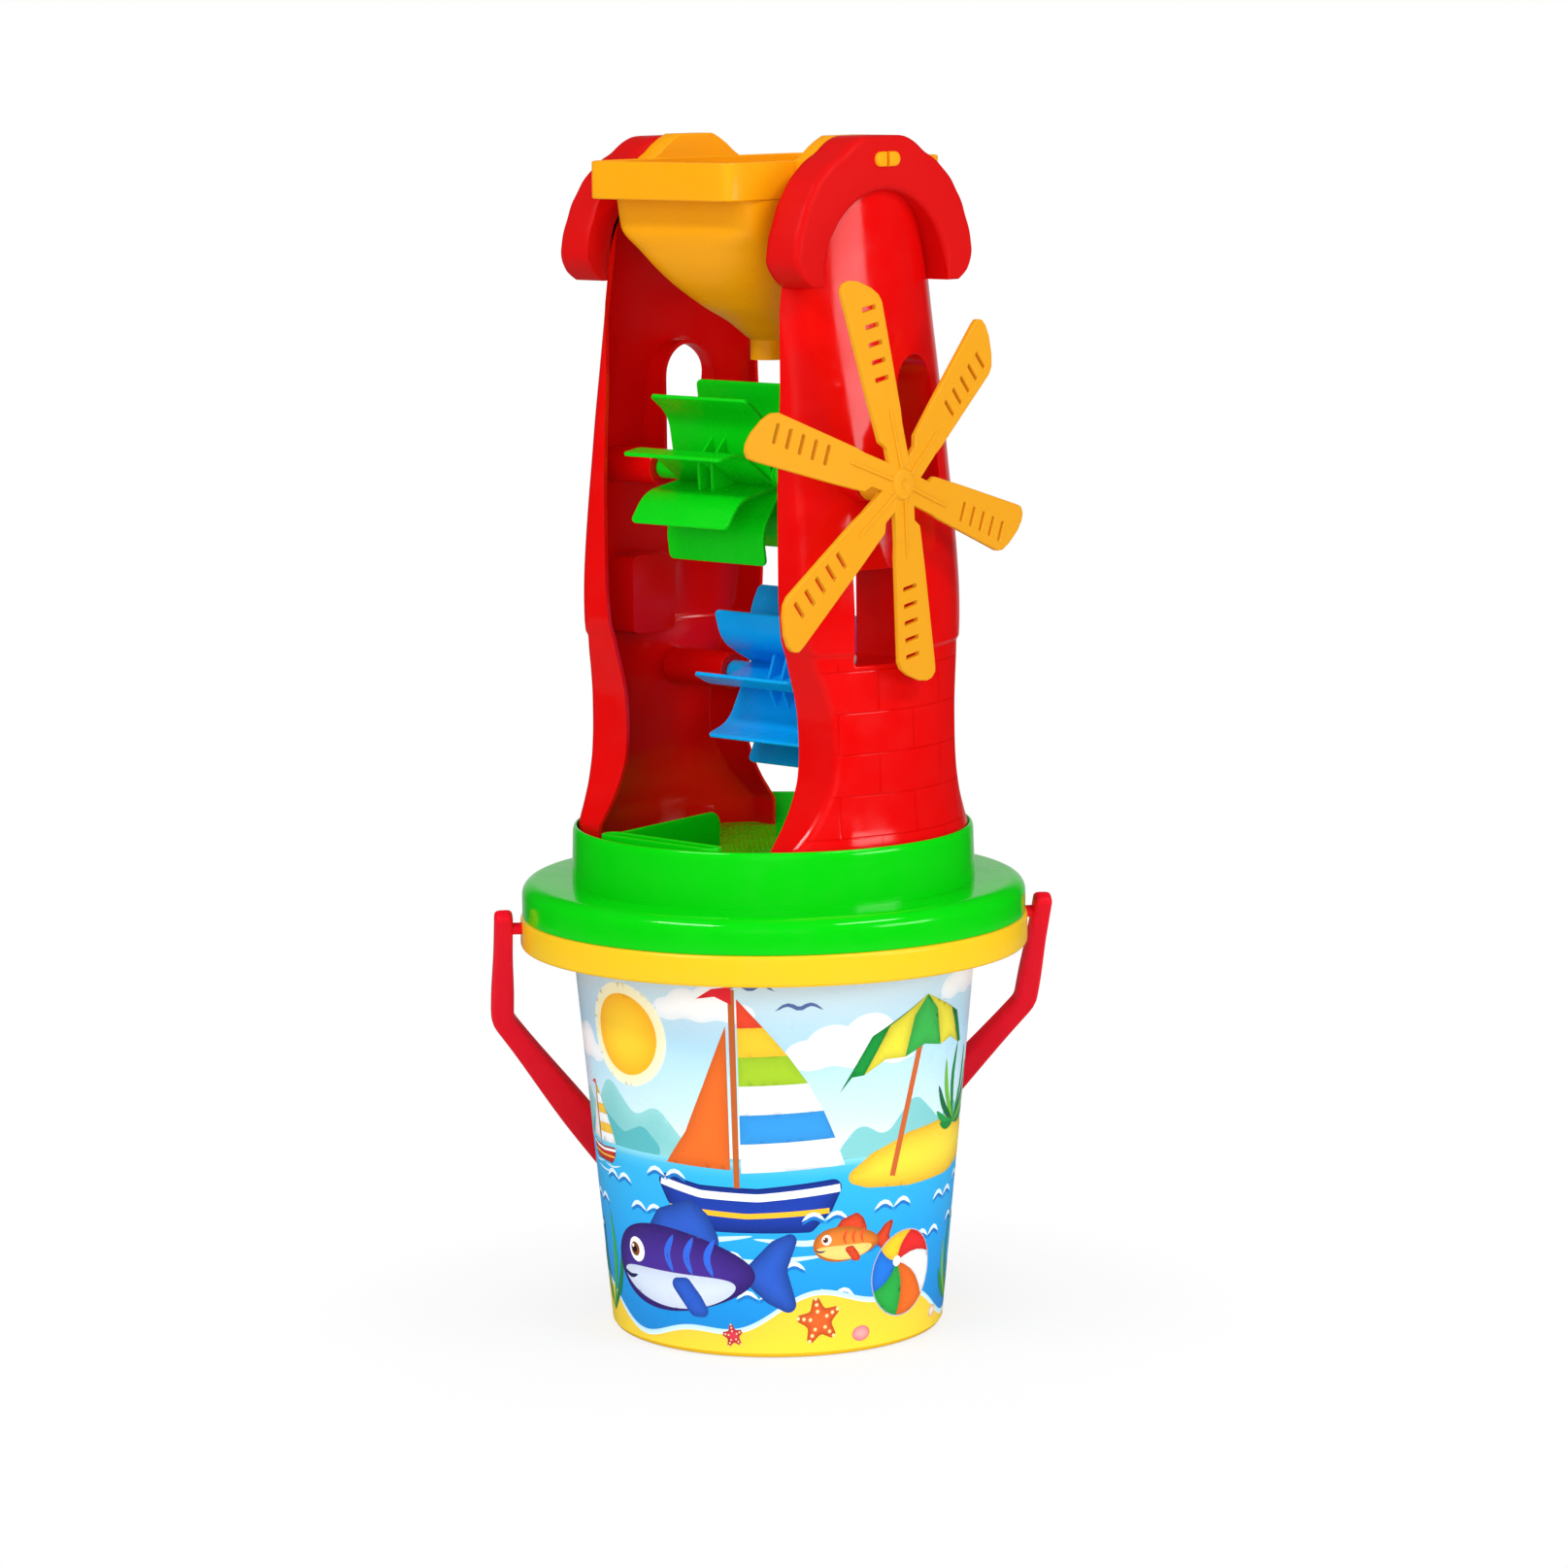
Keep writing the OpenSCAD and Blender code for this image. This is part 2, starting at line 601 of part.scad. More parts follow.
stub_r = journal_r * 0.53;
stub_l = shell_edge_y * 0.5;
upper_end = pad_y + 0.5;
upper_paddle_turn = -9.7;
lower_paddle_turn = 28.7;

module upper_wheel() color("green") translate([-upper_x, 0, upper_z])
    rotate([0, upper_paddle_turn, 0]) paddle_wheel(upper_end);
module lower_wheel() color("dodgerblue") translate([lower_x, 0, lower_z])
    rotate([0, lower_paddle_turn, 0]) mirror([1, 0, 0]) paddle_wheel(journal_end);

// Sails: each blade has a narrow stem, uneven shoulders and a slanted tip, and leans
// back. Each row gives a share of the sails' radius and a share of the blade's width.
blade_shares = [[0, 0.27], [0.28, 0.27], [0.34, 0.295], [0.86, 0.33], [0.9, 0.27], [0.94, 0.1],
                [0.985, -0.2], [1, -0.42], [0.996, -0.56], [0.97, -0.67], [0.93, -0.67],
                [0.44, -0.5], [0.225, -0.41], [0.19, -0.27], [0, -0.27]];
slot_w = blade_w * 0.08;
slot_l = blade_w * 0.37;
slot_x = -blade_w * 0.05;
slot_first = sail_r * 0.51;
slot_step = sail_r * 0.0845;

module blade_plan() difference() {
    polygon([for (p = blade_shares) [p[1] * blade_w, p[0] * sail_r]]);
    for (i = [0:slots - 1]) translate([slot_x, slot_first + i * slot_step])
        square([slot_l, slot_w], center = true);
}

module sails() color("orange") translate([-upper_x, 0, upper_z]) rotate([90, 0, 0]) {
    for (i = [0:blades - 1]) rotate(-sail_turn - i * 360 / blades)
        translate([0, 0, sail_y]) rotate([-sail_cone, 0, 0]) linear_extrude(blade_t) blade_plan();
    translate([0, 0, upper_end]) cylinder(r = boss_r, h = sail_y - upper_end + blade_t * 0.8);
    translate([0, 0, upper_end - stub_l + over]) cylinder(r = stub_r, h = stub_l);
}

bucket();
bucket_label();
bucket_handle();
sieve_lid();
front_shell();
rear_shell();
hopper();
upper_wheel();
lower_wheel();
sails();
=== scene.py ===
"""Sand wheel toy: moulded plastic pieces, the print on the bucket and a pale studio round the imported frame."""

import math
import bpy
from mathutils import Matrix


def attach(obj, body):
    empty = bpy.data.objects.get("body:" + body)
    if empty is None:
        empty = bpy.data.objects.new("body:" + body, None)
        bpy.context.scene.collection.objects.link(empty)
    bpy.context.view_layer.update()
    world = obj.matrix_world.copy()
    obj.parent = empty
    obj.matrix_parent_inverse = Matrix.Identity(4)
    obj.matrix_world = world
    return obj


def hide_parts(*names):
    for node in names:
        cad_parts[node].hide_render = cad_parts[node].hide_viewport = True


bl_info = {
    "name": "Sand Wheel Toy",
    "version": (1, 0, 0),
    "blender": (4, 5, 0),
    "location": "3D View > Sidebar > Sand Toy",
    "description": "Builds a beach bucket whose lid carries a sand mill with two wheels and sails",
    "category": "Add Mesh",
}

import bmesh
import bpy
import numpy as np
from bpy.props import FloatProperty, FloatVectorProperty, IntProperty, PointerProperty
from mathutils import Matrix, Vector
from mathutils.geometry import delaunay_2d_cdt

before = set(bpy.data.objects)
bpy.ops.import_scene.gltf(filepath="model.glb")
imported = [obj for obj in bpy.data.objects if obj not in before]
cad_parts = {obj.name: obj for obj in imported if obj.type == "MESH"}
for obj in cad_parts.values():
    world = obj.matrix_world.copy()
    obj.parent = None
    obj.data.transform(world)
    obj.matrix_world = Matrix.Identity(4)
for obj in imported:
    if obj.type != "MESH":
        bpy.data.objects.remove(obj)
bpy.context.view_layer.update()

# Shapes are worked out in millimetres and scaled when they become meshes
MM = 0.001


def length(label, text, value):
    """A length in metres that a user can change."""
    return FloatProperty(name=label, description=text, default=value, min=0.0, precision=4,
                         subtype="DISTANCE", unit="LENGTH")


def paint(label, text, value):
    """A linear colour that a user can change."""
    return FloatVectorProperty(name=label, description=text, default=value, size=3, min=0.0, max=1.0,
                               subtype="COLOR")


class SandToySizes(bpy.types.PropertyGroup):
    """Main sizes of the toy, the same as in its CAD source."""

    bucket_height: length("Bucket height", "Height of the bucket with its rim", 0.1678)
    base_radius: length("Base radius", "Radius of the bucket's base", 0.0665)
    wall_radius: length("Wall radius", "Radius of the bucket's wall under the rim", 0.082)
    rim_radius: length("Rim radius", "Outer radius of the bucket's rim", 0.102)
    rim_drop: length("Rim drop", "Height of the rim's skirt", 0.0125)
    lid_radius: length("Lid radius", "Outer radius of the lid's flange", 0.1012)
    collar_radius: length("Collar radius", "Outer radius of the lid's collar", 0.0804)
    sieve_level: length("Sieve level", "Height of the sieve's upper face", 0.192)
    sieve_pitch: length("Sieve pitch", "Distance from hole to hole of the sieve", 0.003)
    shell_height: length("Shell height", "Height of the tower above the sieve", 0.286)
    shell_radius: length("Shell radius", "Radius of the tower at its ledge", 0.0758)
    wheel_radius: length("Wheel radius", "Radius to a paddle's tip", 0.036)
    wheel_half_width: length("Wheel half width", "Half the width of a paddle", 0.026)
    sail_radius: length("Sail radius", "Radius of the sails", 0.081)
    paddle_count: IntProperty(name="Paddles", description="Number of paddles on a wheel", default=8, min=3, max=12)
    blade_count: IntProperty(name="Sail blades", description="Number of blades of the sails", default=6, min=3, max=12)


class SandToyColours(bpy.types.PropertyGroup):
    """Colours of the toy's plastics."""

    bucket: paint("Bucket", "Yellow of the bucket", (0.96, 0.58, 0.014))
    handle: paint("Handle", "Crimson of the handle", (0.84, 0.0, 0.014))
    lid: paint("Lid", "Green of the lid", (0.0, 0.62, 0.002))
    tower: paint("Tower", "Red of the tower's shells", (0.74, 0.0, 0.0))
    hopper: paint("Hopper", "Orange of the hopper", (0.9, 0.36, 0.0))
    upper_wheel: paint("Upper wheel", "Green of the upper wheel", (0.0, 0.62, 0.004))
    lower_wheel: paint("Lower wheel", "Blue of the lower wheel", (0.0, 0.42, 1.0))
    sails: paint("Sails", "Orange of the sails", (0.8, 0.34, 0.006))


def sizes():
    """The sizes in millimetres, by name."""
    group = bpy.context.scene.sand_toy_sizes
    return {k: getattr(group, k) * (1 if k.endswith("_count") else 1000) for k in SandToySizes.__annotations__}


def colours():
    """The colours of the plastics, by name."""
    return bpy.context.scene.sand_toy_colours


# Shapes: each part is an array of points and a list of index arrays for its faces


def joined(parts):
    """Several parts as one."""
    points, faces, start = [], [], 0
    for p, fs in parts:
        points.append(p)
        faces += [f + start for f in fs]
        start += len(p)
    return np.concatenate(points), faces


def moved(part, x, y, z):
    """The part shifted by x, y and z."""
    return part[0] + [x, y, z], part[1]


def mirrored(part, axis):
    """The part's mirror image along one axis (0 for x, 1 for y), with its faces turned round again."""
    points, faces = part
    return points * np.where(np.arange(3) == axis, -1, 1), [f[:, ::-1] for f in faces]


def rotated(part, axis, degrees):
    """The part turned about an axis: its two other coordinates p, q become p cos a - q sin a, p sin a + q cos a."""
    points, faces = part
    c, s = math.cos(math.radians(degrees)), math.sin(math.radians(degrees))
    p, q = (axis + 1) % 3, (axis + 2) % 3
    out = points.astype(float)
    out[:, p], out[:, q] = points[:, p] * c - points[:, q] * s, points[:, p] * s + points[:, q] * c
    return out, faces


def facing_front(part, x=0.0, z=0.0):
    """A part that lies flat, stood up at (x, z): its height points to the front, along -Y."""
    points, faces = part
    return np.stack([x + points[:, 0], -points[:, 2], z + points[:, 1]], -1), faces


def circle(count):
    """Evenly spaced angles round a circle."""
    return np.linspace(0, 2 * np.pi, count, endpoint=False)


def grid(points, close_u=False, close_v=False, caps=False, turn=True):
    """Joins a grid of points with quads: point (i, j) to (i+1, j), (i+1, j+1) and (i, j+1), and turns them outwards."""
    nu, nv = points.shape[:2]
    i = np.arange(nu if close_u else nu - 1)[:, None]
    j = np.arange(nv if close_v else nv - 1)[None, :]
    i2, j2 = (i + 1) % nu, (j + 1) % nv
    quads = np.stack([i * nv + j, i2 * nv + j, i2 * nv + j2, i * nv + j2], -1).reshape(-1, 4)
    faces = [quads]
    if caps:
        faces += [np.arange(nv)[None], ((nu - 1) * nv + np.arange(nv))[None, ::-1]]
    flat = points.reshape(-1, 3).astype(float)
    if turn and volume(flat, faces) < 0:
        faces = [f[:, ::-1] for f in faces]
    return flat, faces


def volume(points, faces):
    """Six times the signed volume inside closed faces: the sum of triple products over each face's fan."""
    total = 0.0
    middle = points.mean(0)
    for f in faces:
        p = points[f] - middle
        for k in range(1, f.shape[1] - 1):
            total += float((p[:, 0] * np.cross(p[:, k], p[:, k + 1])).sum())
    return total


def turned(profile, count=192):
    """A closed profile of radius and height turned about an upright axis: (r cos a, r sin a, h)."""
    a = circle(count)[:, None]
    r, h = profile[None, :, 0], profile[None, :, 1]
    return grid(np.stack([r * np.cos(a), r * np.sin(a), np.broadcast_to(h, (count, h.shape[1]))], -1), True, True)


def rounded_line(corners, radius, steps=6, closed=True):
    """Replaces each corner by an arc tangent to both its sides, as short as the sides allow."""
    p = np.asarray(corners, float)
    r = np.broadcast_to(np.asarray(radius, float), len(p))
    t = np.linspace(0, 1, steps + 1)[:, None]
    out = []
    for i in range(len(p)):
        b, u, v = p[i], p[i - 1] - p[i], p[(i + 1) % len(p)] - p[i]
        lu, lv = np.linalg.norm(u), np.linalg.norm(v)
        end = not closed and i in (0, len(p) - 1)
        half = 0.0 if end else math.acos(max(-1.0, min(1.0, float(u @ v) / (lu * lv)))) / 2
        if end or r[i] <= 0 or half > 1.55:
            out.append(b[None])
            continue
        cut = min(r[i] / math.tan(half), 0.48 * lu, 0.48 * lv)
        u, v = u / lu, v / lv
        centre = b + (u + v) / np.linalg.norm(u + v) * cut / math.cos(half)
        total = math.pi - 2 * half
        s0, s1 = b + u * cut - centre, b + v * cut - centre
        out.append(centre + (np.sin((1 - t) * total) * s0 + np.sin(t * total) * s1) / math.sin(total))
    return np.concatenate(out)


def inset(outline, distance):
    """Moves the sides of a closed anticlockwise outline inwards; each corner keeps to both its sides."""
    e = np.roll(outline, -1, 0) - outline
    e = e / np.linalg.norm(e, axis=1, keepdims=True)
    n = np.stack([-e[:, 1], e[:, 0]], 1)
    before = np.roll(n, 1, 0)
    share = (n + before) / (1 + (n * before).sum(1, keepdims=True))
    return outline + share * np.broadcast_to(distance, len(outline))[:, None]


def anticlockwise(outline):
    """A closed outline, turned round if its area (half the sum of x y' - x' y) is negative."""
    x, y = outline.T
    return outline if (x * np.roll(y, -1) - np.roll(x, -1) * y).sum() > 0 else outline[::-1]


def edge_rings(outline, low, high, edge, steps=3):
    """Rings of an outline with two quarter-round edges: inset e(1 - sin t), height e(1 - cos t) from low and high."""
    edge = np.broadcast_to(edge, len(outline)).astype(float)
    rings = []
    for side, base in ((1, low), (-1, high)):
        for t in np.linspace(0, math.pi / 2, steps + 1)[::side]:
            flat = inset(outline, edge * (1 - math.sin(t)))
            rings.append(np.column_stack([flat, base + side * edge * (1 - math.cos(t))]))
    return np.array(rings)


def plate(outline, low, high, edge=0.6, steps=3):
    """A flat outline carried from low to high with rounded edges."""
    return grid(edge_rings(anticlockwise(np.asarray(outline, float)), low, high, edge, steps), close_v=True, caps=True)


def inside(points, outline):
    """Even-odd test of points against a closed outline, by counting the sides that a ray crosses."""
    x, y = points[:, :1], points[:, 1:2]
    a, b = outline, np.roll(outline, -1, 0)
    crosses = (a[:, 1] > y) != (b[:, 1] > y)
    rise = np.where(np.abs(b[:, 1] - a[:, 1]) < 1e-12, 1e-12, b[:, 1] - a[:, 1])
    return (crosses & (x < (b[:, 0] - a[:, 0]) * (y - a[:, 1]) / rise + a[:, 0])).sum(1) % 2 == 1


def delaunay(points, sides):
    """Delaunay net of flat points that keeps the given sides: its points and its triangles."""
    flat = [Vector(p) for p in points.tolist()]
    verts, _, tris, *_ = delaunay_2d_cdt(flat, sides.tolist(), [], 0, 1e-5)
    return np.array([v[:] for v in verts]), np.array([t for t in tris if len(t) == 3])


def loop_sides(indices):
    """The sides of closed loops of point indices."""
    return np.stack([indices, np.roll(indices, -1, -1)], -1).reshape(-1, 2)


def triangles_between(loops, extra=None):
    """Delaunay triangles of closed loops, and of extra points, that lie in the first loop and in none of the others."""
    points, sides, start = [], [], 0
    for loop in loops:
        points.append(loop)
        sides.append(loop_sides(start + np.arange(len(loop))))
        start += len(loop)
    if extra is not None:
        points.append(extra)
    verts, tris = delaunay(np.concatenate(points), np.concatenate(sides))
    middle = verts[tris].mean(1)
    keep = inside(middle, loops[0])
    for loop in loops[1:]:
        keep &= ~inside(middle, loop)
    return verts, tris[keep]


def pierced_plate(outline, holes, low, high, edge=0.4):
    """A plate with holes: rounded rings round each loop, and Delaunay triangles between their last rings."""
    outer, *inner = [anticlockwise(np.asarray(loop, float)) for loop in (outline, *holes)]
    rings = [edge_rings(loop, low, high, edge) for loop in [outer] + [hole[::-1] for hole in inner]]
    parts = [grid(ring, close_v=True, turn=False) for ring in rings]
    verts, tris = triangles_between([ring[0][:, :2] for ring in rings])
    for height, faces in ((low, tris[:, ::-1]), (high, tris)):
        parts.append((np.column_stack([verts, np.full(len(verts), height)]), [faces]))
    return joined(parts)


def unit(vectors):
    """Each row at length 1."""
    return vectors / np.linalg.norm(vectors, axis=1, keepdims=True)


def sweep(line, section, side_scale=1.0, up_scale=1.0, up=None, closed=False):
    """Carries a section along a line: point + side x section_x + up x section_y, side square to the line and up."""
    line = np.asarray(line, float)
    along = np.roll(line, -1, 0) - np.roll(line, 1, 0) if closed else np.gradient(line, axis=0)
    up = np.broadcast_to(up, line.shape)
    side = unit(np.cross(unit(along), up))
    sx = np.broadcast_to(side_scale, len(line))[:, None, None]
    su = np.broadcast_to(up_scale, len(line))[:, None, None]
    points = line[:, None] + side[:, None] * section[None, :, :1] * sx + up[:, None] * section[None, :, 1:] * su
    return grid(points, close_u=closed, close_v=True, caps=not closed)


def rounded_ends(total, radius, middle=24):
    """Stations along a length with both ends rounded: the stations, and how far the sides pull in at each."""
    near = radius * (1 - np.cos(np.linspace(0, math.pi / 2, 6)))
    s = np.concatenate([near, np.linspace(radius, total - radius, middle)[1:-1], total - near[::-1]])
    d = radius - np.minimum(np.minimum(s, total - s), radius)
    return s, radius - np.sqrt(np.maximum(radius**2 - d**2, 0))


def run_along(line):
    """Distance of each point of a polyline from its start."""
    return np.concatenate([[0], np.cumsum(np.linalg.norm(np.diff(line, axis=0), axis=1))])


def point_at(line, s):
    """Points of a polyline at distances s from its start."""
    line, run = np.asarray(line, float), run_along(line)
    return np.stack([np.interp(s, run, line[:, k]) for k in range(line.shape[1])], 1)


def smooth_between(x, rows):
    """Monotone cubic curve through rows of (x, y): Hermite pieces whose slopes are harmonic means of the chords'."""
    xs, ys = np.asarray(rows, float).T
    h, d = np.diff(xs), np.diff(ys) / np.diff(xs)
    same = d[:-1] * d[1:] > 0
    total = np.where(same, d[:-1] + d[1:], 1.0)
    m = np.concatenate([[d[0]], np.where(same, 2 * d[:-1] * d[1:] / total, 0.0), [d[-1]]])
    i = np.clip(np.searchsorted(xs, x) - 1, 0, len(h) - 1)
    t = np.clip((x - xs[i]) / h[i], 0, 1)
    return ((2 * t**3 - 3 * t**2 + 1) * ys[i] + (t**3 - 2 * t**2 + t) * h[i] * m[i]
            + (3 * t**2 - 2 * t**3) * ys[i + 1] + (t**3 - t**2) * h[i] * m[i + 1])


def rounded_box(half_x, half_y, radius, steps=4):
    """Corners of a rounded rectangle about the origin."""
    return rounded_line([[half_x, half_y], [-half_x, half_y], [-half_x, -half_y], [half_x, -half_y]], radius, steps)


def dressed(name, mesh, material, body, nodes=()):
    """Makes a finished mesh a piece: it takes its material, rides on its body and stands for the nodes it replaces."""
    mesh.materials.append(material)
    obj = bpy.data.objects.new(name, mesh)
    bpy.context.scene.collection.objects.link(obj)
    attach(obj, body)
    if nodes:
        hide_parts(*nodes)
    return obj


def piece(name, parts, body, material, nodes=(), angle=32):
    """Makes one mesh object of parts in millimetres, with shading split at sharp edges, and puts it on its body."""
    points, faces = joined(parts)
    mesh = bpy.data.meshes.new(name)
    mesh.from_pydata((points * MM).tolist(), [], [row for f in faces for row in f.tolist()])
    bm = bmesh.new()
    bm.from_mesh(mesh)
    bmesh.ops.remove_doubles(bm, verts=bm.verts, dist=1e-7)
    bm.to_mesh(mesh)
    bm.free()
    mesh.shade_smooth()
    mesh.set_sharp_from_angle(angle=math.radians(angle))
    return dressed(name, mesh, material, body, nodes)


# Materials


def wire(tree, kind, links=(), **settings):
    """Adds a node, sets its properties or sockets by name, and links (socket, source) pairs into it."""
    node = tree.nodes.new(kind)
    for key, value in settings.items():
        if hasattr(node, key):
            setattr(node, key, value)
        else:
            node.inputs[key.replace("_", " ")].default_value = value
    for socket, source in links:
        tree.links.new(source, node.inputs[socket])
    return node


def noise(tree, place, scale, detail):
    """Noise with so many waves to a metre."""
    return wire(tree, "ShaderNodeTexNoise", [("Vector", place)], Scale=scale, Detail=detail).outputs[0]


def mapped(tree, value, from_low, from_high, to_low, to_high):
    """A value carried from one range to another, and held at its ends."""
    return wire(tree, "ShaderNodeMapRange", [("Value", value)], From_Min=from_low, From_Max=from_high,
                To_Min=to_low, To_Max=to_high).outputs[0]


def bumped(tree, height, strength, depth, *under, invert=False):
    """A normal with relief of a depth in metres, over the normal under it."""
    links = [("Height", height)] + [("Normal", normal) for normal in under]
    return wire(tree, "ShaderNodeBump", links, Strength=strength, Distance=depth, invert=invert).outputs[0]


def new_material(name):
    """A material with its node tree and its shader."""
    mat = bpy.data.materials.new(name)
    mat.use_nodes = True
    return mat, mat.node_tree, mat.node_tree.nodes["Principled BSDF"]


# Waves to a metre in the plastics' patterns, and depths of their relief in metres
MELT, RUB, SINK, GRAIN = 14.0, 90.0, 30.0, 1400.0
SINK_DEPTH, GRAIN_DEPTH, JOINT_DEPTH = 0.0006, 0.0002, 0.0005
JOINT_SHADE = 0.86
DRIFT = 0.04


def moulded_plastic(name, colour, roughness=0.2, shine=0.3, grain=0.04, relief=None):
    """Glossy injection-moulded plastic: slow colour drift from the melt, uneven polish and a faint moulded grain."""
    mat, tree, shader = new_material(name)
    place = wire(tree, "ShaderNodeTexCoord").outputs["Object"]
    mix = wire(tree, "ShaderNodeMix", [(0, noise(tree, place, MELT, 3.0))], data_type="RGBA")
    mix.inputs[6].default_value = [c * (1 - DRIFT) for c in colour] + [1.0]
    mix.inputs[7].default_value = [min(1.0, c * (1 + DRIFT) + 0.004) for c in colour] + [1.0]
    colour_out = mix.outputs[2]
    polish = mapped(tree, noise(tree, place, RUB, 4.0), 0.3, 0.7, roughness - 0.05, roughness + 0.07)
    skin = bumped(tree, noise(tree, place, GRAIN, 2.0), grain, GRAIN_DEPTH)
    normal = bumped(tree, noise(tree, place, SINK, 1.0), 0.12, SINK_DEPTH, skin)
    if relief:
        normal, joint = relief(tree, normal)
        shade = wire(tree, "ShaderNodeMix", [(0, joint), (6, colour_out)], data_type="RGBA")
        shade.inputs[7].default_value = [c * JOINT_SHADE for c in colour] + [1.0]
        colour_out = shade.outputs[2]
    for socket, source in (("Base Color", colour_out), ("Roughness", polish), ("Normal", normal)):
        tree.links.new(source, shader.inputs[socket])
    shader.inputs["IOR"].default_value = 1.5
    shader.inputs["Specular IOR Level"].default_value = shine
    return mat


# Brick courses, in tenths of a metre as their UV map is
BRICK_LONG, BRICK_HIGH, MORTAR = 0.33, 0.162, 0.006
COURSES_END, COURSES_FADE = 0.86, 0.83


def brick_courses(tree, normal):
    """Shallow joints between brick courses: the joint pattern, masked by height, sinks and darkens the surface."""
    uv = wire(tree, "ShaderNodeUVMap", uv_map="courses").outputs[0]
    bricks = wire(tree, "ShaderNodeTexBrick", [("Vector", uv)], Scale=1.0, Brick_Width=BRICK_LONG,
                  Row_Height=BRICK_HIGH, Mortar_Size=MORTAR, Mortar_Smooth=1.0, offset=0.5)
    up = wire(tree, "ShaderNodeSeparateXYZ", [(0, uv)]).outputs[1]
    below = mapped(tree, up, COURSES_END, COURSES_FADE, 0.0, 1.0)
    depth = wire(tree, "ShaderNodeMath", [(0, bricks.outputs["Fac"]), (1, below)], operation="MULTIPLY").outputs[0]
    return bumped(tree, depth, 0.12, JOINT_DEPTH, normal, invert=True), depth


def printed_film(name):
    """Glossy printed film: ink colours from the print's own colour attribute, a fine ink speckle and slight ripples."""
    mat, tree, shader = new_material(name)
    ink_colour = wire(tree, "ShaderNodeVertexColor", layer_name="ink").outputs[0]
    place = wire(tree, "ShaderNodeTexCoord").outputs["Object"]
    tone = mapped(tree, noise(tree, place, 2200.0, 2.0), 0.25, 0.75, 1.06, 1.16)
    mix = wire(tree, "ShaderNodeMix", [(6, ink_colour), (7, tone)], data_type="RGBA", blend_type="MULTIPLY")
    mix.inputs[0].default_value = 1.0
    polish = mapped(tree, noise(tree, place, 60.0, 4.0), 0.3, 0.7, 0.26, 0.42)
    skin = bumped(tree, noise(tree, place, 40.0, 2.0), 0.1, 0.0004)
    for socket, source in (("Base Color", mix.outputs[2]), ("Roughness", polish), ("Normal", skin)):
        tree.links.new(source, shader.inputs[socket])
    shader.inputs["Specular IOR Level"].default_value = 0.25
    return mat


# Bucket, print and handle

WALL_T = 1.8
FLOOR_T = 2.4
BASE_RISE, BASE_RING = 0.6, 4.0
RIM_ROLL = 3.4
BLOCK_HALF_X, BLOCK_HALF_Y, BLOCK_IN = 2.4, 5.3, 3.5
HANDLE_TURN, HANDLE_LEAN = -39.0, 33.4
PIN_Z, PIN_R, PIN_END = 164.0, 2.4, 106.5


def wall_at(z):
    """Radius of the bucket's outer wall at height z."""
    s = sizes()
    return s["base_radius"] + (s["wall_radius"] - s["base_radius"]) * z / s["bucket_height"]


def rounded_rows(rows, steps, closed=True):
    """A rounded line from rows of x, y and the radius of that corner."""
    rows = np.array(rows, float)
    return rounded_line(rows[:, :2], rows[:, 2], steps, closed)


def bucket_profile():
    """Outer wall, rim and skirt, inner wall and floor as one closed line, each corner rounded."""
    s = sizes()
    h, rim, low = s["bucket_height"], s["rim_radius"], s["bucket_height"] - s["rim_drop"]
    foot = wall_at(0) - BASE_RING
    rows = [[0, BASE_RISE, 0], [foot - 1, BASE_RISE, 0.8], [foot, 0, 0.8], [wall_at(0), 0, 2.5],
            [wall_at(h - WALL_T), h - WALL_T, 1.2], [rim - WALL_T, h - WALL_T, 1.0],
            [rim - WALL_T, low + WALL_T, 0.8], [rim - RIM_ROLL, low + WALL_T, 0.5], [rim - RIM_ROLL, low, 0.8],
            [rim, low, 3.0], [rim, h, 1.8], [wall_at(h) - WALL_T, h, 1.0],
            [wall_at(FLOOR_T) - WALL_T, FLOOR_T, 3.0], [0, FLOOR_T, 0]]
    return rounded_rows(rows, 6)


class SANDTOY_OT_bucket(bpy.types.Operator):
    """Turn the yellow bucket with its rolled rim, and set a pivot block behind the rim on each side"""

    bl_idname = "sandtoy.bucket"
    bl_label = "Bucket"

    def execute(self, context):
        s = sizes()
        look = moulded_plastic("bucket_plastic", colours().bucket, 0.18)
        low, high = s["bucket_height"] - s["rim_drop"] + 3, s["bucket_height"] - 1.0
        block = plate(rounded_box(BLOCK_HALF_X, BLOCK_HALF_Y, 0.8) + [s["rim_radius"] - BLOCK_IN, 0], low, high, 0.4)
        parts = [turned(bucket_profile(), 256)] + [rotated(block, 2, HANDLE_TURN + turn) for turn in (0, 180)]
        piece("bucket_shell", parts, "bucket_body", look, ["bucket"])
        return {"FINISHED"}


PRINT_R = 75.0
PRINT_FACING = math.radians(-137.0)
PRINT_HALF = math.pi * PRINT_R
FILM_LIFT, LAYER_STEP = 0.26, 0.013
STROKE_STEP, NET_STEP, NET_CLEAR = 1.6, 2.0, 0.9
HORIZON = 82.0


def on_wall(flat, lift):
    """Wraps print coordinates (distance round the wall, height) on the cone of the wall, lifted by so much."""
    a = flat[..., 0] / PRINT_R + PRINT_FACING
    r = wall_at(flat[..., 1]) + lift
    return np.stack([r * np.cos(a), r * np.sin(a), flat[..., 1]], -1)


def ink(r, g, b):
    """Linear colour of screen values from 0 to 255: (c + 0.055)^2.4 / 1.055^2.4, or c / 12.92 near black."""
    c = np.array([r, g, b]) / 255
    return np.where(c <= 0.04045, c / 12.92, ((c + 0.055) / 1.055) ** 2.4)


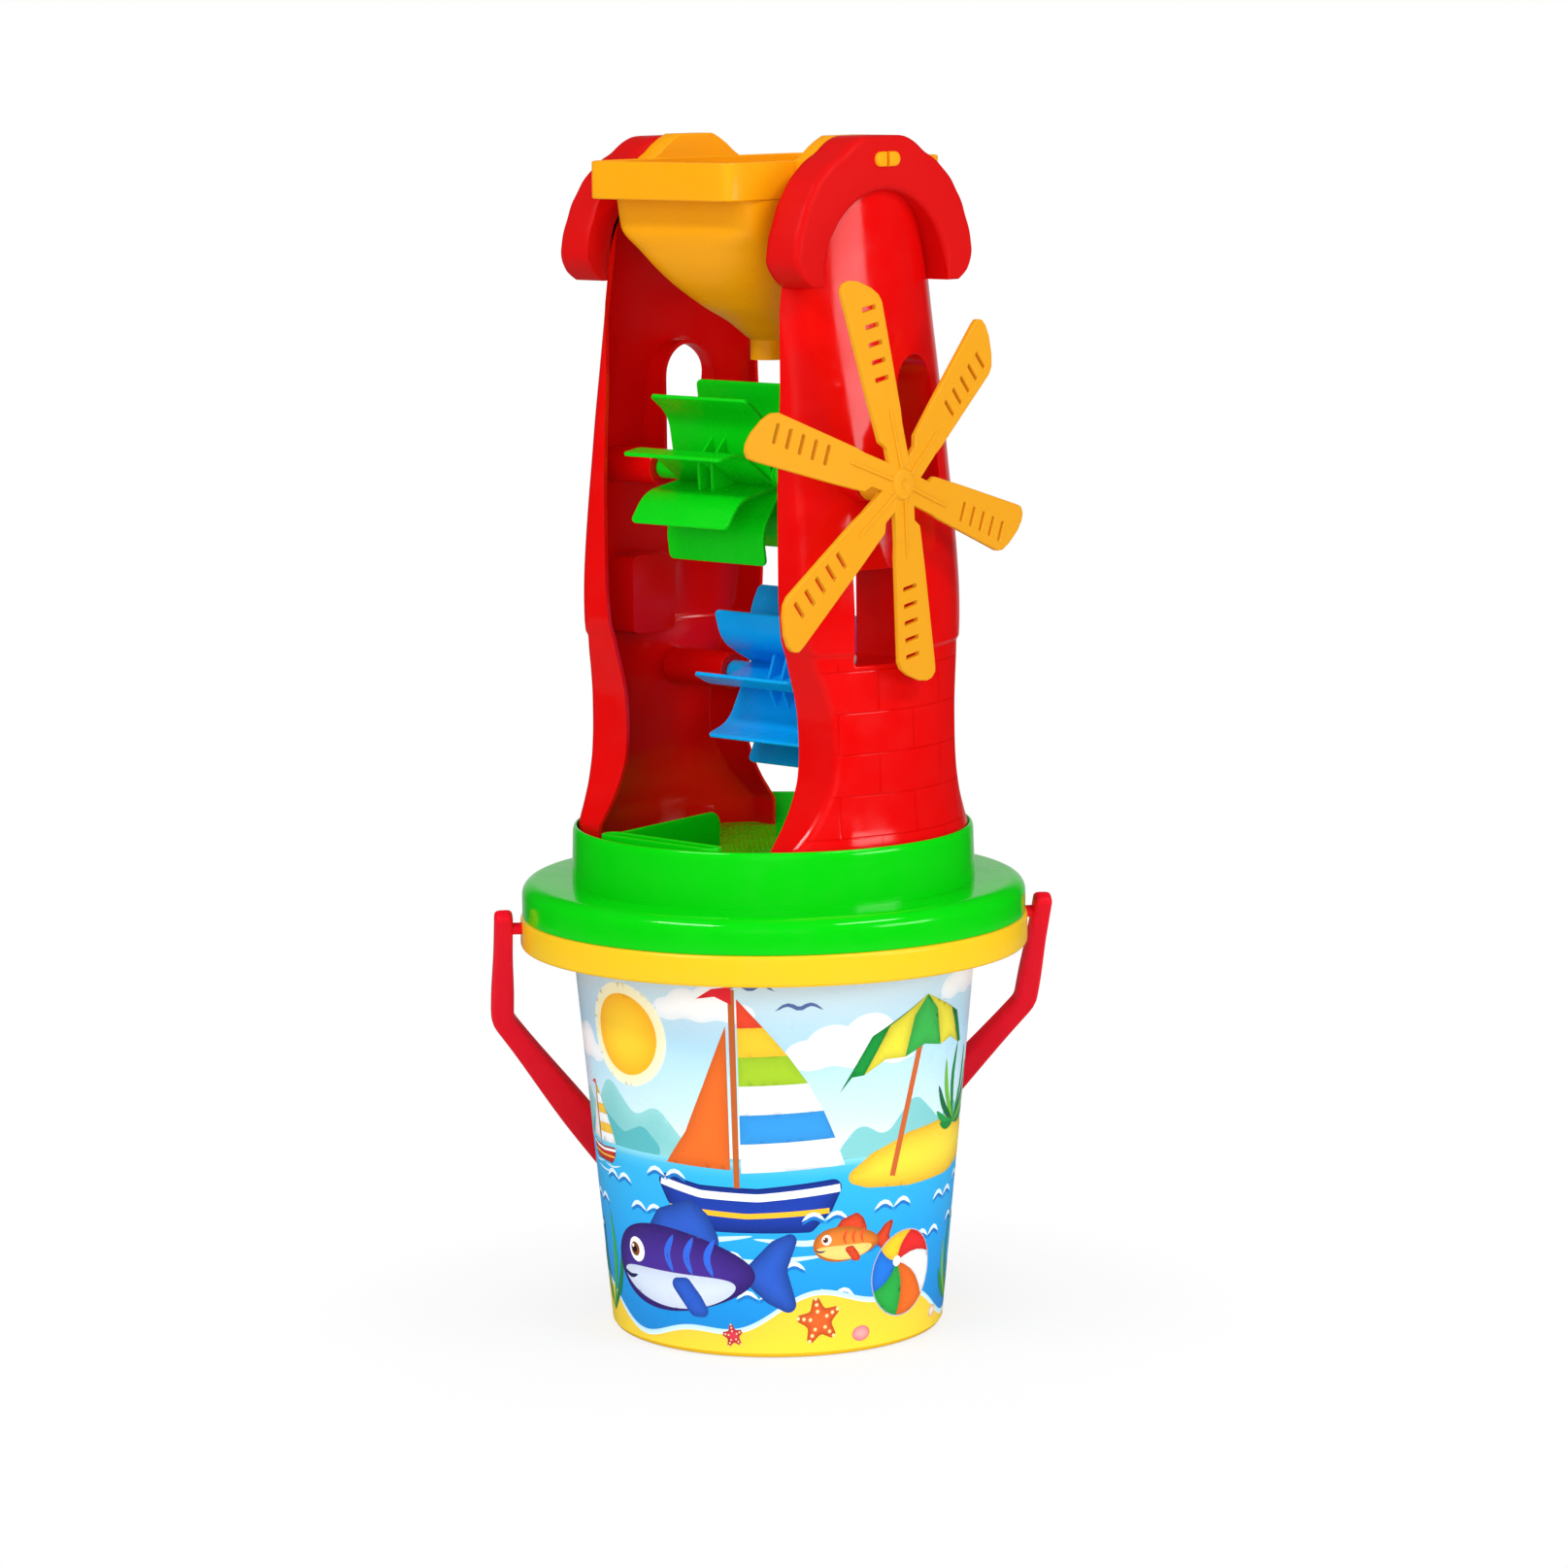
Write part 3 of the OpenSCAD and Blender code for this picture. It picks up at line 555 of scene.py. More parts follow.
def resampled(outline, step):
    """A closed outline with every side cut into equal lengths of at most step."""
    out = []
    for a, b in zip(outline, np.roll(outline, -1, 0)):
        n = max(1, int(math.ceil(np.linalg.norm(b - a) / step)))
        out.append(a + (b - a) * np.linspace(0, 1, n, endpoint=False)[:, None])
    return np.concatenate(out)


def distance_to(points, outline):
    """Distance from each point to the nearest point of an outline."""
    return np.linalg.norm(points[:, None] - outline[None], axis=2).min(1)


def blot(outline, colour, soft=0.0, edge=None):
    """A filled shape as a Delaunay net; it turns to its edge colour as (1 - distance to the outline / greatest)^2."""
    outline = rounded_line(outline, soft, 5) if soft else np.asarray(outline, float)
    outline = resampled(anticlockwise(outline), STROKE_STEP)
    low, high = outline.min(0), outline.max(0)
    rows = [np.arange(a + 1, b, NET_STEP) for a, b in zip(low, high)]
    net = np.stack(np.meshgrid(*rows), -1).reshape(-1, 2)
    if len(net):
        net = net[inside(net, outline) & (distance_to(net, outline) > NET_CLEAR)]
    flat, tris = triangles_between([outline], net if len(net) else None)
    tone = np.broadcast_to(colour, (len(flat), 3)).copy()
    if edge is not None:
        away = distance_to(flat, outline)
        share = (1 - away / max(away.max(), 1e-6))[:, None] ** 2
        tone = tone + (np.asarray(edge) - tone) * share
    return flat, tris, tone


def oval(x, z, rx, rz, a):
    """Points of an ellipse about (x, z) at the angles a."""
    return np.stack([x + rx * np.cos(a), z + rz * np.sin(a)], 1)


def disc(x, z, r, colour, rz=None, edge=None):
    """A filled circle, or an ellipse of half height rz."""
    return blot(oval(x, z, r, rz or r, circle(40)), colour, edge=edge)


def quads(rows, columns):
    """Indices of the quads of an open grid, row by row."""
    i, j = np.arange(rows - 1)[:, None] * columns, np.arange(columns - 1)[None]
    return np.stack([i + j, i + j + 1, i + columns + j + 1, i + columns + j], -1).reshape(-1, 4)


def ribbon(line, width, colour, taper=True):
    """A stroke along a line, as wide as width in its middle and fine at its ends: line +/- width sin(pi t)^0.6 / 2."""
    total = run_along(line)[-1]
    count = max(6, int(total / STROKE_STEP))
    fine = point_at(line, np.linspace(0, total, count))
    d = unit(np.gradient(fine, axis=0))
    half = width / 2 * (np.sin(np.pi * np.linspace(0, 1, count)) ** 0.6 if taper else np.ones(count))
    side = np.stack([-d[:, 1], d[:, 0]], 1) * half[:, None]
    flat = np.stack([fine - side, fine + side]).reshape(-1, 2)
    return flat, quads(2, count), np.broadcast_to(colour, (len(flat), 3)).copy()


def curve(*points):
    """A smooth open line through a few points."""
    return rounded_line(points, 30.0, 8, closed=False)


def band(low, high, colour_low, colour_high, half=118.0, rows=3):
    """A strip round the wall, so far either way, between two heights given as functions of the distance round it."""
    s = np.linspace(-half, half, int(2 * half / STROKE_STEP) + 2)
    a, b = low(s) + 0 * s, high(s) + 0 * s
    k = np.linspace(0, 1, rows)[:, None]
    flat = np.stack([np.broadcast_to(s, (rows, len(s))), a + (b - a) * k], -1).reshape(-1, 2)
    tone = np.asarray(colour_low) + (np.asarray(colour_high) - colour_low) * k[..., None]
    return flat, quads(rows, len(s)), np.broadcast_to(tone, (rows, len(s), 3)).reshape(-1, 3).copy()


WHITE = ink(250, 252, 252)


def cloud(x, z, k):
    """A cloud: one outline of overlapping puffs over a flat foot, a little greyer at its edge."""
    puffs = [(-14, 0, 8, 7), (-5, 3, 10, 9), (8, 4, 11, 11), (19, 0, 8, 6)]
    across = np.linspace(-21.9, 26.9, 60)
    top = [max((z0 + rz * math.sqrt(1 - ((s - x0) / rx) ** 2) for x0, z0, rx, rz in puffs if abs(s - x0) < rx),
               default=0) for s in across]
    foot = -2.5 - 1.5 * np.sin(np.linspace(0, 3 * np.pi, 20)) ** 2
    outline = np.concatenate([np.stack([across, np.maximum(top, 0.4)], 1),
                              np.stack([np.linspace(26, -21, 20), foot], 1)])
    return [blot(outline * k + [x, z], WHITE, edge=ink(228, 238, 244))]


def boat(x, z, k, hull, sail, jib):
    """A sailing boat in profile: hull, stripes, mast, a banded mainsail, a jib, a pennant and its wash."""
    at = lambda p: np.array([x, z]) + k * np.asarray(p, float)
    deck = [[-36, 4], [-18, 0.5], [2, 0], [32, 3], [27, -8], [20, -15], [-24, -15], [-31, -6]]
    shapes = [blot(at(deck), hull, soft=3 * k, edge=hull * 0.5)]
    for line, width, colour in (([[-33, 0.5], [-18, -2.6], [2, -3.2], [29.6, -0.6]], 2.6, WHITE),
                                ([[-30, -8], [-2, -9.4], [26, -8]], 1.8, ink(255, 190, 40)),
                                ([[-5, 0], [-5, 66]], 2.0, ink(190, 95, 40))):
        shapes.append(ribbon(at(line), width * k, colour, False))
    top, foot, low = np.array([-3.4, 63]), np.array([-3.4, 5]), np.array([31, 7])
    cuts = np.linspace(0, 1, 7)
    for i, (a, b) in enumerate(zip(cuts, cuts[1:])):
        quad = np.array([foot + (top - foot) * a, foot + (top - foot) * b,
                         low + (top - low) * b + [0.02, 0], low + (top - low) * a])
        quad[[2, 3], 0] += 4.5 * np.sin(np.pi * np.array([b, a]))
        colour = sail[i % len(sail)]
        shapes.append(blot(at(quad), colour, edge=colour * 0.86))
    shapes.append(blot(at([[-7, 6], [-7, 54], [-15, 34], [-22, 18], [-30, 7]]), jib, edge=jib * 0.75))
    shapes.append(blot(at([[-5, 67], [-5, 61], [-10, 63.5], [-16, 62.5], [-11, 66]]), ink(225, 30, 45)))
    wash = ([[-40, -16], [-24, -19], [0, -16]], [[0, -17], [20, -19], [38, -15]], [[-26, -23], [0, -25], [26, -23]])
    return shapes + [ribbon(at(curve(*line)), 2.0 * k, ink(205, 240, 252)) for line in wash]


def fish(x, z, k, body, belly, fin):
    """A fish that swims to the left, in profile: body, pale belly, back and tail fins, stripes, an eye and a mouth."""
    a = circle(64)
    at = lambda p: np.array([x, z]) + k * np.asarray(p, float) * [-1, 1]
    shape = np.stack([30 * np.cos(a), 14 * np.sin(a) * (1 + 0.25 * np.cos(a))], 1)
    low = np.stack([25 * np.cos(a) + 2, 6.0 * np.sin(a) - 5.6 + 1.5 * np.cos(2 * a)], 1)
    tail = [[-24, 0], [-36, 12], [-46, 16], [-41, 2], [-46, -15], [-34, -9]]
    back = [[14, 9], [6, 20], [-8, 25], [-14, 20], [-20, 7]]
    out = [blot(at(tail), fin, soft=3 * k, edge=fin * 0.5), blot(at(back), fin, soft=4 * k, edge=fin * 0.5),
           blot(at(shape), body, edge=body * 0.45), blot(at(low), belly, edge=belly * 0.85)]
    out += [ribbon(at(curve([s, 12], [s + 4, 5], [s + 1, -1])), 2.6 * k, fin * 1.3) for s in (-16, -8, 0)]
    side_fin = [[4, -3], [-6, -15], [-14, -15], [-10, -8], [-5, -2]]
    out.append(blot(at(side_fin), fin, soft=2.5 * k, edge=fin * 0.6))
    for dx, dz, r, colour in ((18.5, 4.2, 4.2, WHITE), (19.4, 4.2, 2.4, ink(140, 70, 20)),
                              (19.8, 4.2, 1.3, ink(15, 15, 30)), (20.5, 5.2, 0.6, WHITE)):
        out.append(disc(x - dx * k, z + dz * k, r * k, colour))
    out.append(ribbon(at(curve([28.5, -3.5], [24, -6], [19, -4.5])), 1.5 * k, ink(30, 30, 90)))
    return out


def bowed(start, end, bulge):
    """Five points from start towards end on an arc: start + (end - start) t + left sin(pi t) bulge."""
    t = np.linspace(0, 1, 6)[:-1, None]
    left = np.array([-(end - start)[1], (end - start)[0]])
    return start + (end - start) * t + left * bulge * np.sin(math.pi * t)


def beach_ball(x, z, r):
    """A ball of six lobes: each lobe lies between two arcs from the crown to the rim."""
    out = [disc(x, z, r, ink(240, 240, 245), edge=ink(170, 180, 205))]
    inks = [ink(235, 40, 40), ink(255, 205, 40), ink(30, 120, 225), ink(40, 175, 70), ink(240, 110, 30),
            ink(250, 250, 250)]
    crown = np.array([x - 0.25 * r, z + 0.3 * r])
    for i, c in enumerate(inks):
        rim = oval(x, z, 0.97 * r, 0.97 * r, np.radians(20 + 60 * i + np.linspace(0, 60, 9)))
        near, far = bowed(crown, rim[0], 0.12), bowed(crown, rim[-1], 0.12)
        out.append(blot(np.concatenate([near, rim, far[:0:-1]]), c, edge=c * 0.75))
    out.append(disc(*crown, r * 0.12, WHITE))
    return out


def parasol(x, z, k):
    """A beach parasol: a leaning pole and five lobes of canopy."""
    at = lambda p: np.array([x, z]) + k * np.asarray(p, float)
    out = [ribbon(at([[-8, -34], [4, 22]]), 2.4 * k, ink(205, 100, 45), False)]
    inks = [ink(20, 150, 60), ink(235, 225, 60), ink(60, 185, 80), ink(235, 225, 60), ink(15, 130, 60)]
    a, crown = np.radians(np.linspace(172, 2, 6)), np.array([3.5, 26])
    rim = np.stack([30 * np.cos(a) + 2 * np.sin(a), 9 * np.sin(a) - 2 + 3 * np.cos(a)], 1)
    for i, c in enumerate(inks):
        mid = (rim[i] + rim[i + 1]) / 2 + [0, 2.4]
        near, far = ((rim[n] + crown) / 2 + [-(2.5 - n) * 2.2, 3.5] for n in (i, i + 1))
        out.append(blot(at([rim[i], mid, rim[i + 1], far, crown, near]), c, edge=c * 0.7))
    return out


def wavelet(x, z):
    """A pair of small crests, each a white stroke over a deeper blue one."""
    out = []
    for middle in (x - 4.95, x + 4.95):
        crest = curve([middle - 4.95, z - 1.76], [middle, z + 2.2], [middle + 4.95, z - 1.76])
        out += [ribbon(crest - [0, 1.43], 1.87, ink(24, 120, 200)), ribbon(crest, 1.76, ink(225, 246, 255))]
    return out


def starfish(x, z, r, colour):
    """A star with five rounded arms and three pale dots on each."""
    a = np.radians(np.arange(10) * 36 + 100)
    arms = np.where(np.arange(10) % 2 == 0, r, r * 0.42)
    out = [blot(oval(x, z, arms, arms, a), colour, soft=r * 0.16, edge=colour * 0.6)]
    for b in a[::2]:
        out += [disc(x + q * r * math.cos(b), z + q * r * math.sin(b), r * 0.06, ink(255, 215, 150))
                for q in (0.3, 0.52, 0.72)]
    return out


def leaf_fan(x, z, k, inks, spread):
    """Weed or dune grass: curved leaves from one root, given by their angles and lengths."""
    out = []
    for i, (angle, long) in enumerate(spread):
        b = math.radians(angle)
        tip = np.array([math.cos(b), math.sin(b)]) * long * k
        mid = tip * 0.55 + np.array([-tip[1], tip[0]]) * 0.12 * (1 if angle > 90 else -1)
        out.append(ribbon(np.array([x, z]) + curve([0, 0], mid, tip), 4.2 * k, inks[i % len(inks)]))
    return out


def shoreline(s):
    """Height of the water's edge: two sine waves over the sand."""
    return 15 + 9 * np.sin(s / 27 + 0.4) + 3 * np.sin(s / 9)


def seascape():
    """The shapes of one half of the print, back to front, in print coordinates about the middle of that half."""
    shapes = cloud(-30, 140, 0.85) + cloud(28, 122, 1.15) + cloud(92, 142, 0.9) + cloud(-102, 116, 0.8)
    far_hill, near_hill = ink(130, 203, 205), ink(88, 184, 190)
    for outline, colour, soft, edge in (
            ([[-118, 79], [-118, 92], [-104, 101], [-92, 94], [-78, 110], [-62, 95], [-50, 101], [-38, 88],
              [-30, 79]], far_hill, 6, ink(150, 214, 214)),
            ([[-112, 79], [-100, 88], [-84, 94], [-70, 87], [-58, 92], [-44, 79]], near_hill, 5, None),
            ([[20, 79], [34, 95], [46, 88], [60, 104], [78, 90], [90, 96], [118, 79]], far_hill, 6, None)):
        shapes.append(blot(outline, colour, soft, edge))
    shapes.append(disc(-64, 128, 21, ink(255, 232, 130), edge=ink(246, 246, 215)))
    shapes.append(disc(-64, 128, 16.5, ink(255, 208, 40), edge=ink(250, 178, 25)))
    for x, z in ((-18, 150), (0, 142)):
        bird = curve([x, z], [x + 5, z + 3.4], [x + 9, z], [x + 13, z + 3.4], [x + 18, z])
        shapes.append(ribbon(bird, 1.7, ink(80, 105, 160)))
    shapes.append(band(lambda s: 78, lambda s: 80.6, ink(90, 196, 232), ink(140, 220, 240)))
    island = [[26, 72], [40, 82], [58, 88], [84, 90], [108, 84], [117, 76], [112, 69], [88, 66], [60, 66], [38, 68]]
    shapes.append(blot(island, ink(252, 222, 60), soft=6, edge=ink(228, 176, 40)))
    shapes += leaf_fan(92, 86, 0.75, [ink(20, 140, 60), ink(110, 190, 50), ink(15, 110, 60), ink(35, 160, 75)],
                       [(12, 26), (32, 32), (52, 38), (72, 42), (92, 44), (112, 40), (132, 32), (156, 24), (172, 18)])
    shapes += parasol(60, 112, 1.2)
    pale, orange = ink(240, 245, 250), ink(240, 110, 35)
    sail = [pale, ink(50, 150, 225), pale, ink(165, 205, 40), ink(255, 205, 45), ink(235, 70, 40)]
    shapes += boat(-10, 70, 1.22, ink(25, 62, 170), sail, orange)
    shapes += boat(-90, 78, 0.4, ink(200, 50, 40), [WHITE, ink(250, 200, 60)], ink(250, 240, 240))
    for x, z in ((-78, 68), (-60, 58), (-100, 56), (20, 58), (52, 60), (88, 58), (76, 44), (-112, 42), (104, 46),
                 (2, 38), (40, 44), (-48, 74), (24, 26), (-8, 26), (110, 62), (-24, 42), (62, 34)):
        shapes += wavelet(x, z)
    shapes.append(band(lambda s: shoreline(s) - 0.5, lambda s: shoreline(s) + 2.2, ink(225, 246, 255),
                       ink(190, 232, 250)))
    shapes.append(band(lambda s: 2, shoreline, ink(250, 218, 55), ink(252, 208, 60), rows=8))
    shapes += leaf_fan(-98, 8, 0.85, [ink(20, 130, 70), ink(60, 175, 60)], [(60, 40), (80, 52), (97, 46), (118, 36)])
    shapes += fish(-46, 34, 1.22, ink(72, 44, 150), ink(214, 226, 246), ink(42, 92, 200))
    shapes += fish(30, 46, 0.5, ink(245, 135, 45), ink(255, 214, 120), ink(225, 70, 35))
    shapes += beach_ball(60, 30, 18)
    shapes += starfish(18, 15, 13, ink(238, 100, 40)) + starfish(-20, 9, 6.5, ink(225, 60, 80))
    shapes.append(disc(38, 8, 4.4, ink(245, 170, 170), 3.2, edge=ink(220, 110, 120)))
    shapes.append(disc(86, 9, 3.6, ink(250, 240, 220), 2.6, edge=ink(215, 170, 130)))
    shapes += leaf_fan(106, 10, 0.8, [ink(35, 150, 60), ink(130, 190, 50)],
                       [(55, 34), (75, 44), (95, 48), (115, 38), (135, 28)])
    return shapes


def sky_and_sea(low, high):
    """The sheet under all shapes: a net round the wall whose colour goes with height and changes at the horizon."""
    z = np.concatenate([np.linspace(low, HORIZON, 40), np.linspace(HORIZON + 0.01, high, 40)])
    keys = [2, 40, 74, HORIZON, HORIZON + 0.01, 96, 125, high]
    inks = np.array([ink(18, 132, 212), ink(28, 160, 236), ink(48, 182, 238), ink(96, 205, 238), ink(236, 248, 250),
                     ink(206, 236, 246), ink(176, 220, 242), ink(205, 226, 236)])
    tone = np.stack([np.interp(z, keys, inks[:, k]) for k in range(3)], 1)
    around = np.linspace(-PRINT_HALF, PRINT_HALF, 361)
    flat = np.stack(np.meshgrid(around, z), -1).reshape(-1, 2)
    return flat, quads(len(z), len(around)), np.repeat(tone, len(around), 0)


def twice_area(flat, faces):
    """Twice the signed area of flat faces: the cross products in each face's fan, summed."""
    p = flat[faces] - flat[faces[:, :1]]
    return sum(p[:, k, 0] * p[:, k + 1, 1] - p[:, k, 1] * p[:, k + 1, 0] for k in range(1, faces.shape[1] - 1)).sum()


def layered(sheets, low, high):
    """Lays the sheets on the wall, each a layer above those under it, also across the seam: points, faces, colours."""
    boxes, layers, points, rows, tones, start = [], [], [], [], [], 0
    whole_turn = np.array([2, 0, 2, 0]) * PRINT_HALF
    for flat, faces, tone in sheets:
        flat = np.column_stack([flat[:, 0], np.clip(flat[:, 1], low, high)])
        box = np.concatenate([flat.min(0), flat.max(0)])
        turns = [box + n * whole_turn for n in (-1, 0, 1)]
        under = [layer for b, layer in zip(boxes, layers)
                 if any((b[:2] < t[2:]).all() and (t[:2] < b[2:]).all() for t in turns)]
        boxes.append(box)
        layers.append(max(under, default=-1) + 1)
        points.append(on_wall(flat, FILM_LIFT + LAYER_STEP * layers[-1]))
        rows += ((faces[:, ::-1] if twice_area(flat, faces) < 0 else faces) + start).tolist()
        tones.append(np.column_stack([np.clip(tone, 0, 1), np.ones(len(flat))]))
        start += len(flat)
    return np.concatenate(points), rows, np.concatenate(tones)


class SANDTOY_OT_print(bpy.types.Operator):
    """Wrap the printed film round the bucket: a seaside picture made of flat coloured shapes"""

    bl_idname = "sandtoy.label"
    bl_label = "Printed film"

    def execute(self, context):
        s = sizes()
        low, high = 2.0, s["bucket_height"] - s["rim_drop"]
        sheets = [sky_and_sea(low, high)]
        for shift in (0, PRINT_HALF):
            sheets += [(flat + [shift, 0], faces, tone) for flat, faces, tone in seascape()]
        points, rows, tones = layered(sheets, low, high)
        mesh = bpy.data.meshes.new("label_film")
        mesh.from_pydata((points * MM).tolist(), [], rows)
        attribute = mesh.color_attributes.new("ink", "FLOAT_COLOR", "POINT")
        attribute.data.foreach_set("color", tones.astype(np.float32).ravel())
        mesh.shade_smooth()
        dressed("label_film", mesh, printed_film("printed_film"), "bucket_body", ["bucket_label"])
        return {"FINISHED"}


def handle_plane(part):
    """From the handle's own plane, hanging straight down about its pivots, to where it leans round the bucket."""
    return moved(rotated(rotated(part, 0, HANDLE_LEAN), 2, HANDLE_TURN), 0, 0, PIN_Z)


def squared(count, k, first=0.0):
    """A ring between a circle (k = 2) and a square (large k): x = cos^(2/k), y = sin^(2/k), with their signs."""
    t = circle(count) + first
    ring = np.stack([np.cos(t), np.sin(t)], 1)
    return np.sign(ring) * np.abs(ring) ** (2 / k)


# Rows of x, z and corner radius of half the bail's line, and of a distance from its end and how much wider it is
HALF_BAIL = [[109.5, 8.5, 0], [108, -50, 14], [55.5, -139, 16]]
BAIL_HALF_W, BAIL_HALF_T, BAIL_END_R, BAIL_K = 3.7, 3.5, 2.4, 4.2
SHOULDER_ROWS = [[0, 0], [20, 0.12], [46, 0.9], [66, 1], [132, 3.3], [158, 3.1], [186, 1]]


class SANDTOY_OT_handle(bpy.types.Operator):
    """Carry a rounded bar along the bail's line, wider at its shoulders, and add a pin at each end"""

    bl_idname = "sandtoy.handle"
    bl_label = "Handle"

    def execute(self, context):
        look = moulded_plastic("handle_plastic", colours().handle, 0.35, 0.15, grain=0.08)
        line = rounded_rows(HALF_BAIL + [[-x, z, r] for x, z, r in HALF_BAIL[::-1]], 12, closed=False)
        total = run_along(line)[-1]
        along, pull = rounded_ends(total, BAIL_END_R, 150)
        flat = point_at(line, along)
        share = smooth_between(np.minimum(along, total - along), SHOULDER_ROWS + [[total / 2, 1]])
        points = np.column_stack([flat[:, 0], np.zeros(len(flat)), flat[:, 1]])
        bar = sweep(points, squared(40, BAIL_K), BAIL_HALF_W + share - pull, BAIL_HALF_T - pull, up=[0.0, 1.0, 0.0])
        start = sizes()["rim_radius"] - RIM_ROLL
        pin = turned(rounded_rows([[0, start, 0], [PIN_R, start, 0.5], [PIN_R, PIN_END, 0], [0, PIN_END, 0]], 4), 48)
        parts = [handle_plane(part) for part in (bar, rotated(pin, 1, 90), rotated(pin, 1, -90))]
        piece("handle_bail", parts, "handle", look, ["bucket_handle"], angle=40)
        return {"FINISHED"}


# Lid with its sieve, guide loops and guide walls

LID_T = 1.6
PLUG_DROP, PLUG_GAP = 8.0, 0.2
FLANGE_RISE, COLLAR_RISE = 14.2, 36.4
SIEVE_R, NET_R, HOLES_R = 74.0, 75.0, 66.0
LIP_IN, LIP_H = 1.15, 3.2
LOOP_X, LOOP_R, LOOP_HALF = 64.5, 3.7, 26.5
GUIDE_HALF_T, GUIDE_HALF_H, GUIDE_Y = 0.8, 6.4, 30.0
HOLE_SHARE, SIEVE_SUNK = 0.3, 0.05


def lid_profile():
    """Line of the plug, the flange with its skirt and the collar with its lip, from under the sieve to over it."""
    s = sizes()
    h, sieve, lid, collar = s["bucket_height"], s["sieve_level"], s["lid_radius"], s["collar_radius"]
    plug, foot, flange = wall_at(h - PLUG_DROP) - WALL_T - PLUG_GAP, h - PLUG_DROP, h + FLANGE_RISE
    low = rounded_rows([[SIEVE_R, sieve - LID_T, 0], [plug - LID_T, sieve - LID_T, 0.6], [plug - LID_T, foot, 0.4],
                        [plug, foot, 0.6], [plug, flange - LID_T, 0.8], [lid - LID_T, flange - LID_T, 4.2],
                        [lid - LID_T, h, 0.3], [lid, h, 0.5], [lid, flange, 5.8], [collar + 0.6, flange, 2.0]],
                       8, closed=False)
    t, top = np.linspace(0, np.pi / 2, 9), h + COLLAR_RISE
    lip = np.stack([collar - LIP_IN * (1 - np.cos(t)), top - LIP_H * (1 - np.sin(t))], 1)
    inner = rounded_rows([[collar - 1.2, top, 0], [collar - LID_T, top, 0.4], [collar - LID_T, sieve, 1.2],
                          [SIEVE_R, sieve, 0]], 4, closed=False)
    return np.concatenate([low, lip, inner[1:]])


def guides():
    """One side's guides: an oblong loop, a section carried round its line, and an upright wall with a round corner."""
    sieve, t, high = sizes()["sieve_level"], GUIDE_HALF_T, GUIDE_HALF_H
    a = circle(64)
    across, along = LOOP_R * np.cos(a), LOOP_R * np.sin(a) + np.sign(np.sin(a + 1e-9)) * LOOP_HALF
    line = np.column_stack([LOOP_X + across, along, np.full(len(a), sieve + high - 0.2)])
    section = rounded_rows([[t, high, 0.75], [-t, high, 0.75], [-t, -high, 0], [t, -high, 0]], 5)
    loop = sweep(line, section, up=[0.0, 0.0, 1.0], closed=True)
    wall = plate(rounded_rows([[-60, 0, 0], [0, 0, 0], [0, 14, 5], [-60, 12, 0]], 8), -t, t, 0.45)
    return loop, moved(facing_front(wall, z=sieve - 0.4), 0, GUIDE_Y, 0)


def sieve_floor():
    """The pierced floor: a Delaunay net between a circle and square holes, above and below, and the holes' walls."""
    s = sizes()
    pitch, sieve = s["sieve_pitch"], s["sieve_level"]
    half, reach = pitch * HOLE_SHARE, int(HOLES_R / pitch)
    steps = np.arange(-reach, reach + 1)
    centres = np.stack(np.meshgrid(steps, steps), -1).reshape(-1, 2) * pitch
    centres = centres[np.linalg.norm(centres, axis=1) + half < HOLES_R]
    square = np.array([[1, 1], [-1, 1], [-1, -1], [1, -1]]) * half
    edge = oval(0, 0, NET_R, NET_R, circle(160))
    corners = len(edge) + np.arange(len(centres) * 4).reshape(-1, 4)
    points = np.concatenate([edge, (centres[:, None] + square).reshape(-1, 2)])
    verts, tris = delaunay(points, np.concatenate([loop_sides(np.arange(len(edge))), loop_sides(corners)]))
    middle = verts[tris].mean(1)
    near = np.round(middle / pitch) * pitch
    tris = tris[(np.abs(middle - near).max(1) >= half) | (np.linalg.norm(near, axis=1) + half >= HOLES_R)]
    n, around = len(verts), loop_sides(corners)
    sheets = [np.column_stack([verts, np.full(n, z)]) for z in (sieve - SIEVE_SUNK, sieve - LID_T + SIEVE_SUNK)]
    return np.concatenate(sheets), [tris, tris[:, ::-1] + n, np.column_stack([around, around[:, ::-1] + n])]


class SANDTOY_OT_lid(bpy.types.Operator):
    """Turn the green lid, pierce its sieve, and stand the guide loops and guide walls on it"""

    bl_idname = "sandtoy.lid"
    bl_label = "Sieve lid"

    def execute(self, context):
        look = moulded_plastic("lid_plastic", colours().lid, 0.12, 0.35)
        parts = [turned(lid_profile(), 256)]
        for turn in (0, 180):
            parts += [rotated(part, 2, turn) for part in guides()]
        piece("lid_moulding", parts, "mill", look, ["sieve_lid"], angle=38)
        piece("lid_sieve", [sieve_floor()], "mill", look, angle=20)
        return {"FINISHED"}


# Tower shells and roofs

SHELL_T, CORNER, LIP = 1.8, 3.0, 0.7
EDGE_Y, ROOF_Y = 47.0, 63.5
UPPER_X, UPPER_Z = -22.0, 346.3
LOWER_X, LOWER_Z = 17.5, 260.3
ARCH_MID, ARCH_R = 421.0, 44.0
LEDGE, LEDGE_STEP = 0.303, 0.006

# Windows: x, width, sill above the sieve, height
ARCH_WINDOW, SQUARE_WINDOW, NICHE = (13.6, 26.0, 148.0, 53.0), (-13.0, 29.0, 83.0, 37.0), (-7.0, 20.5, 87.0, 28.0)
FRONT_REVEAL_Y, REAR_REVEAL_Y, NICHE_Y = 44.5, 57.0, 60.0

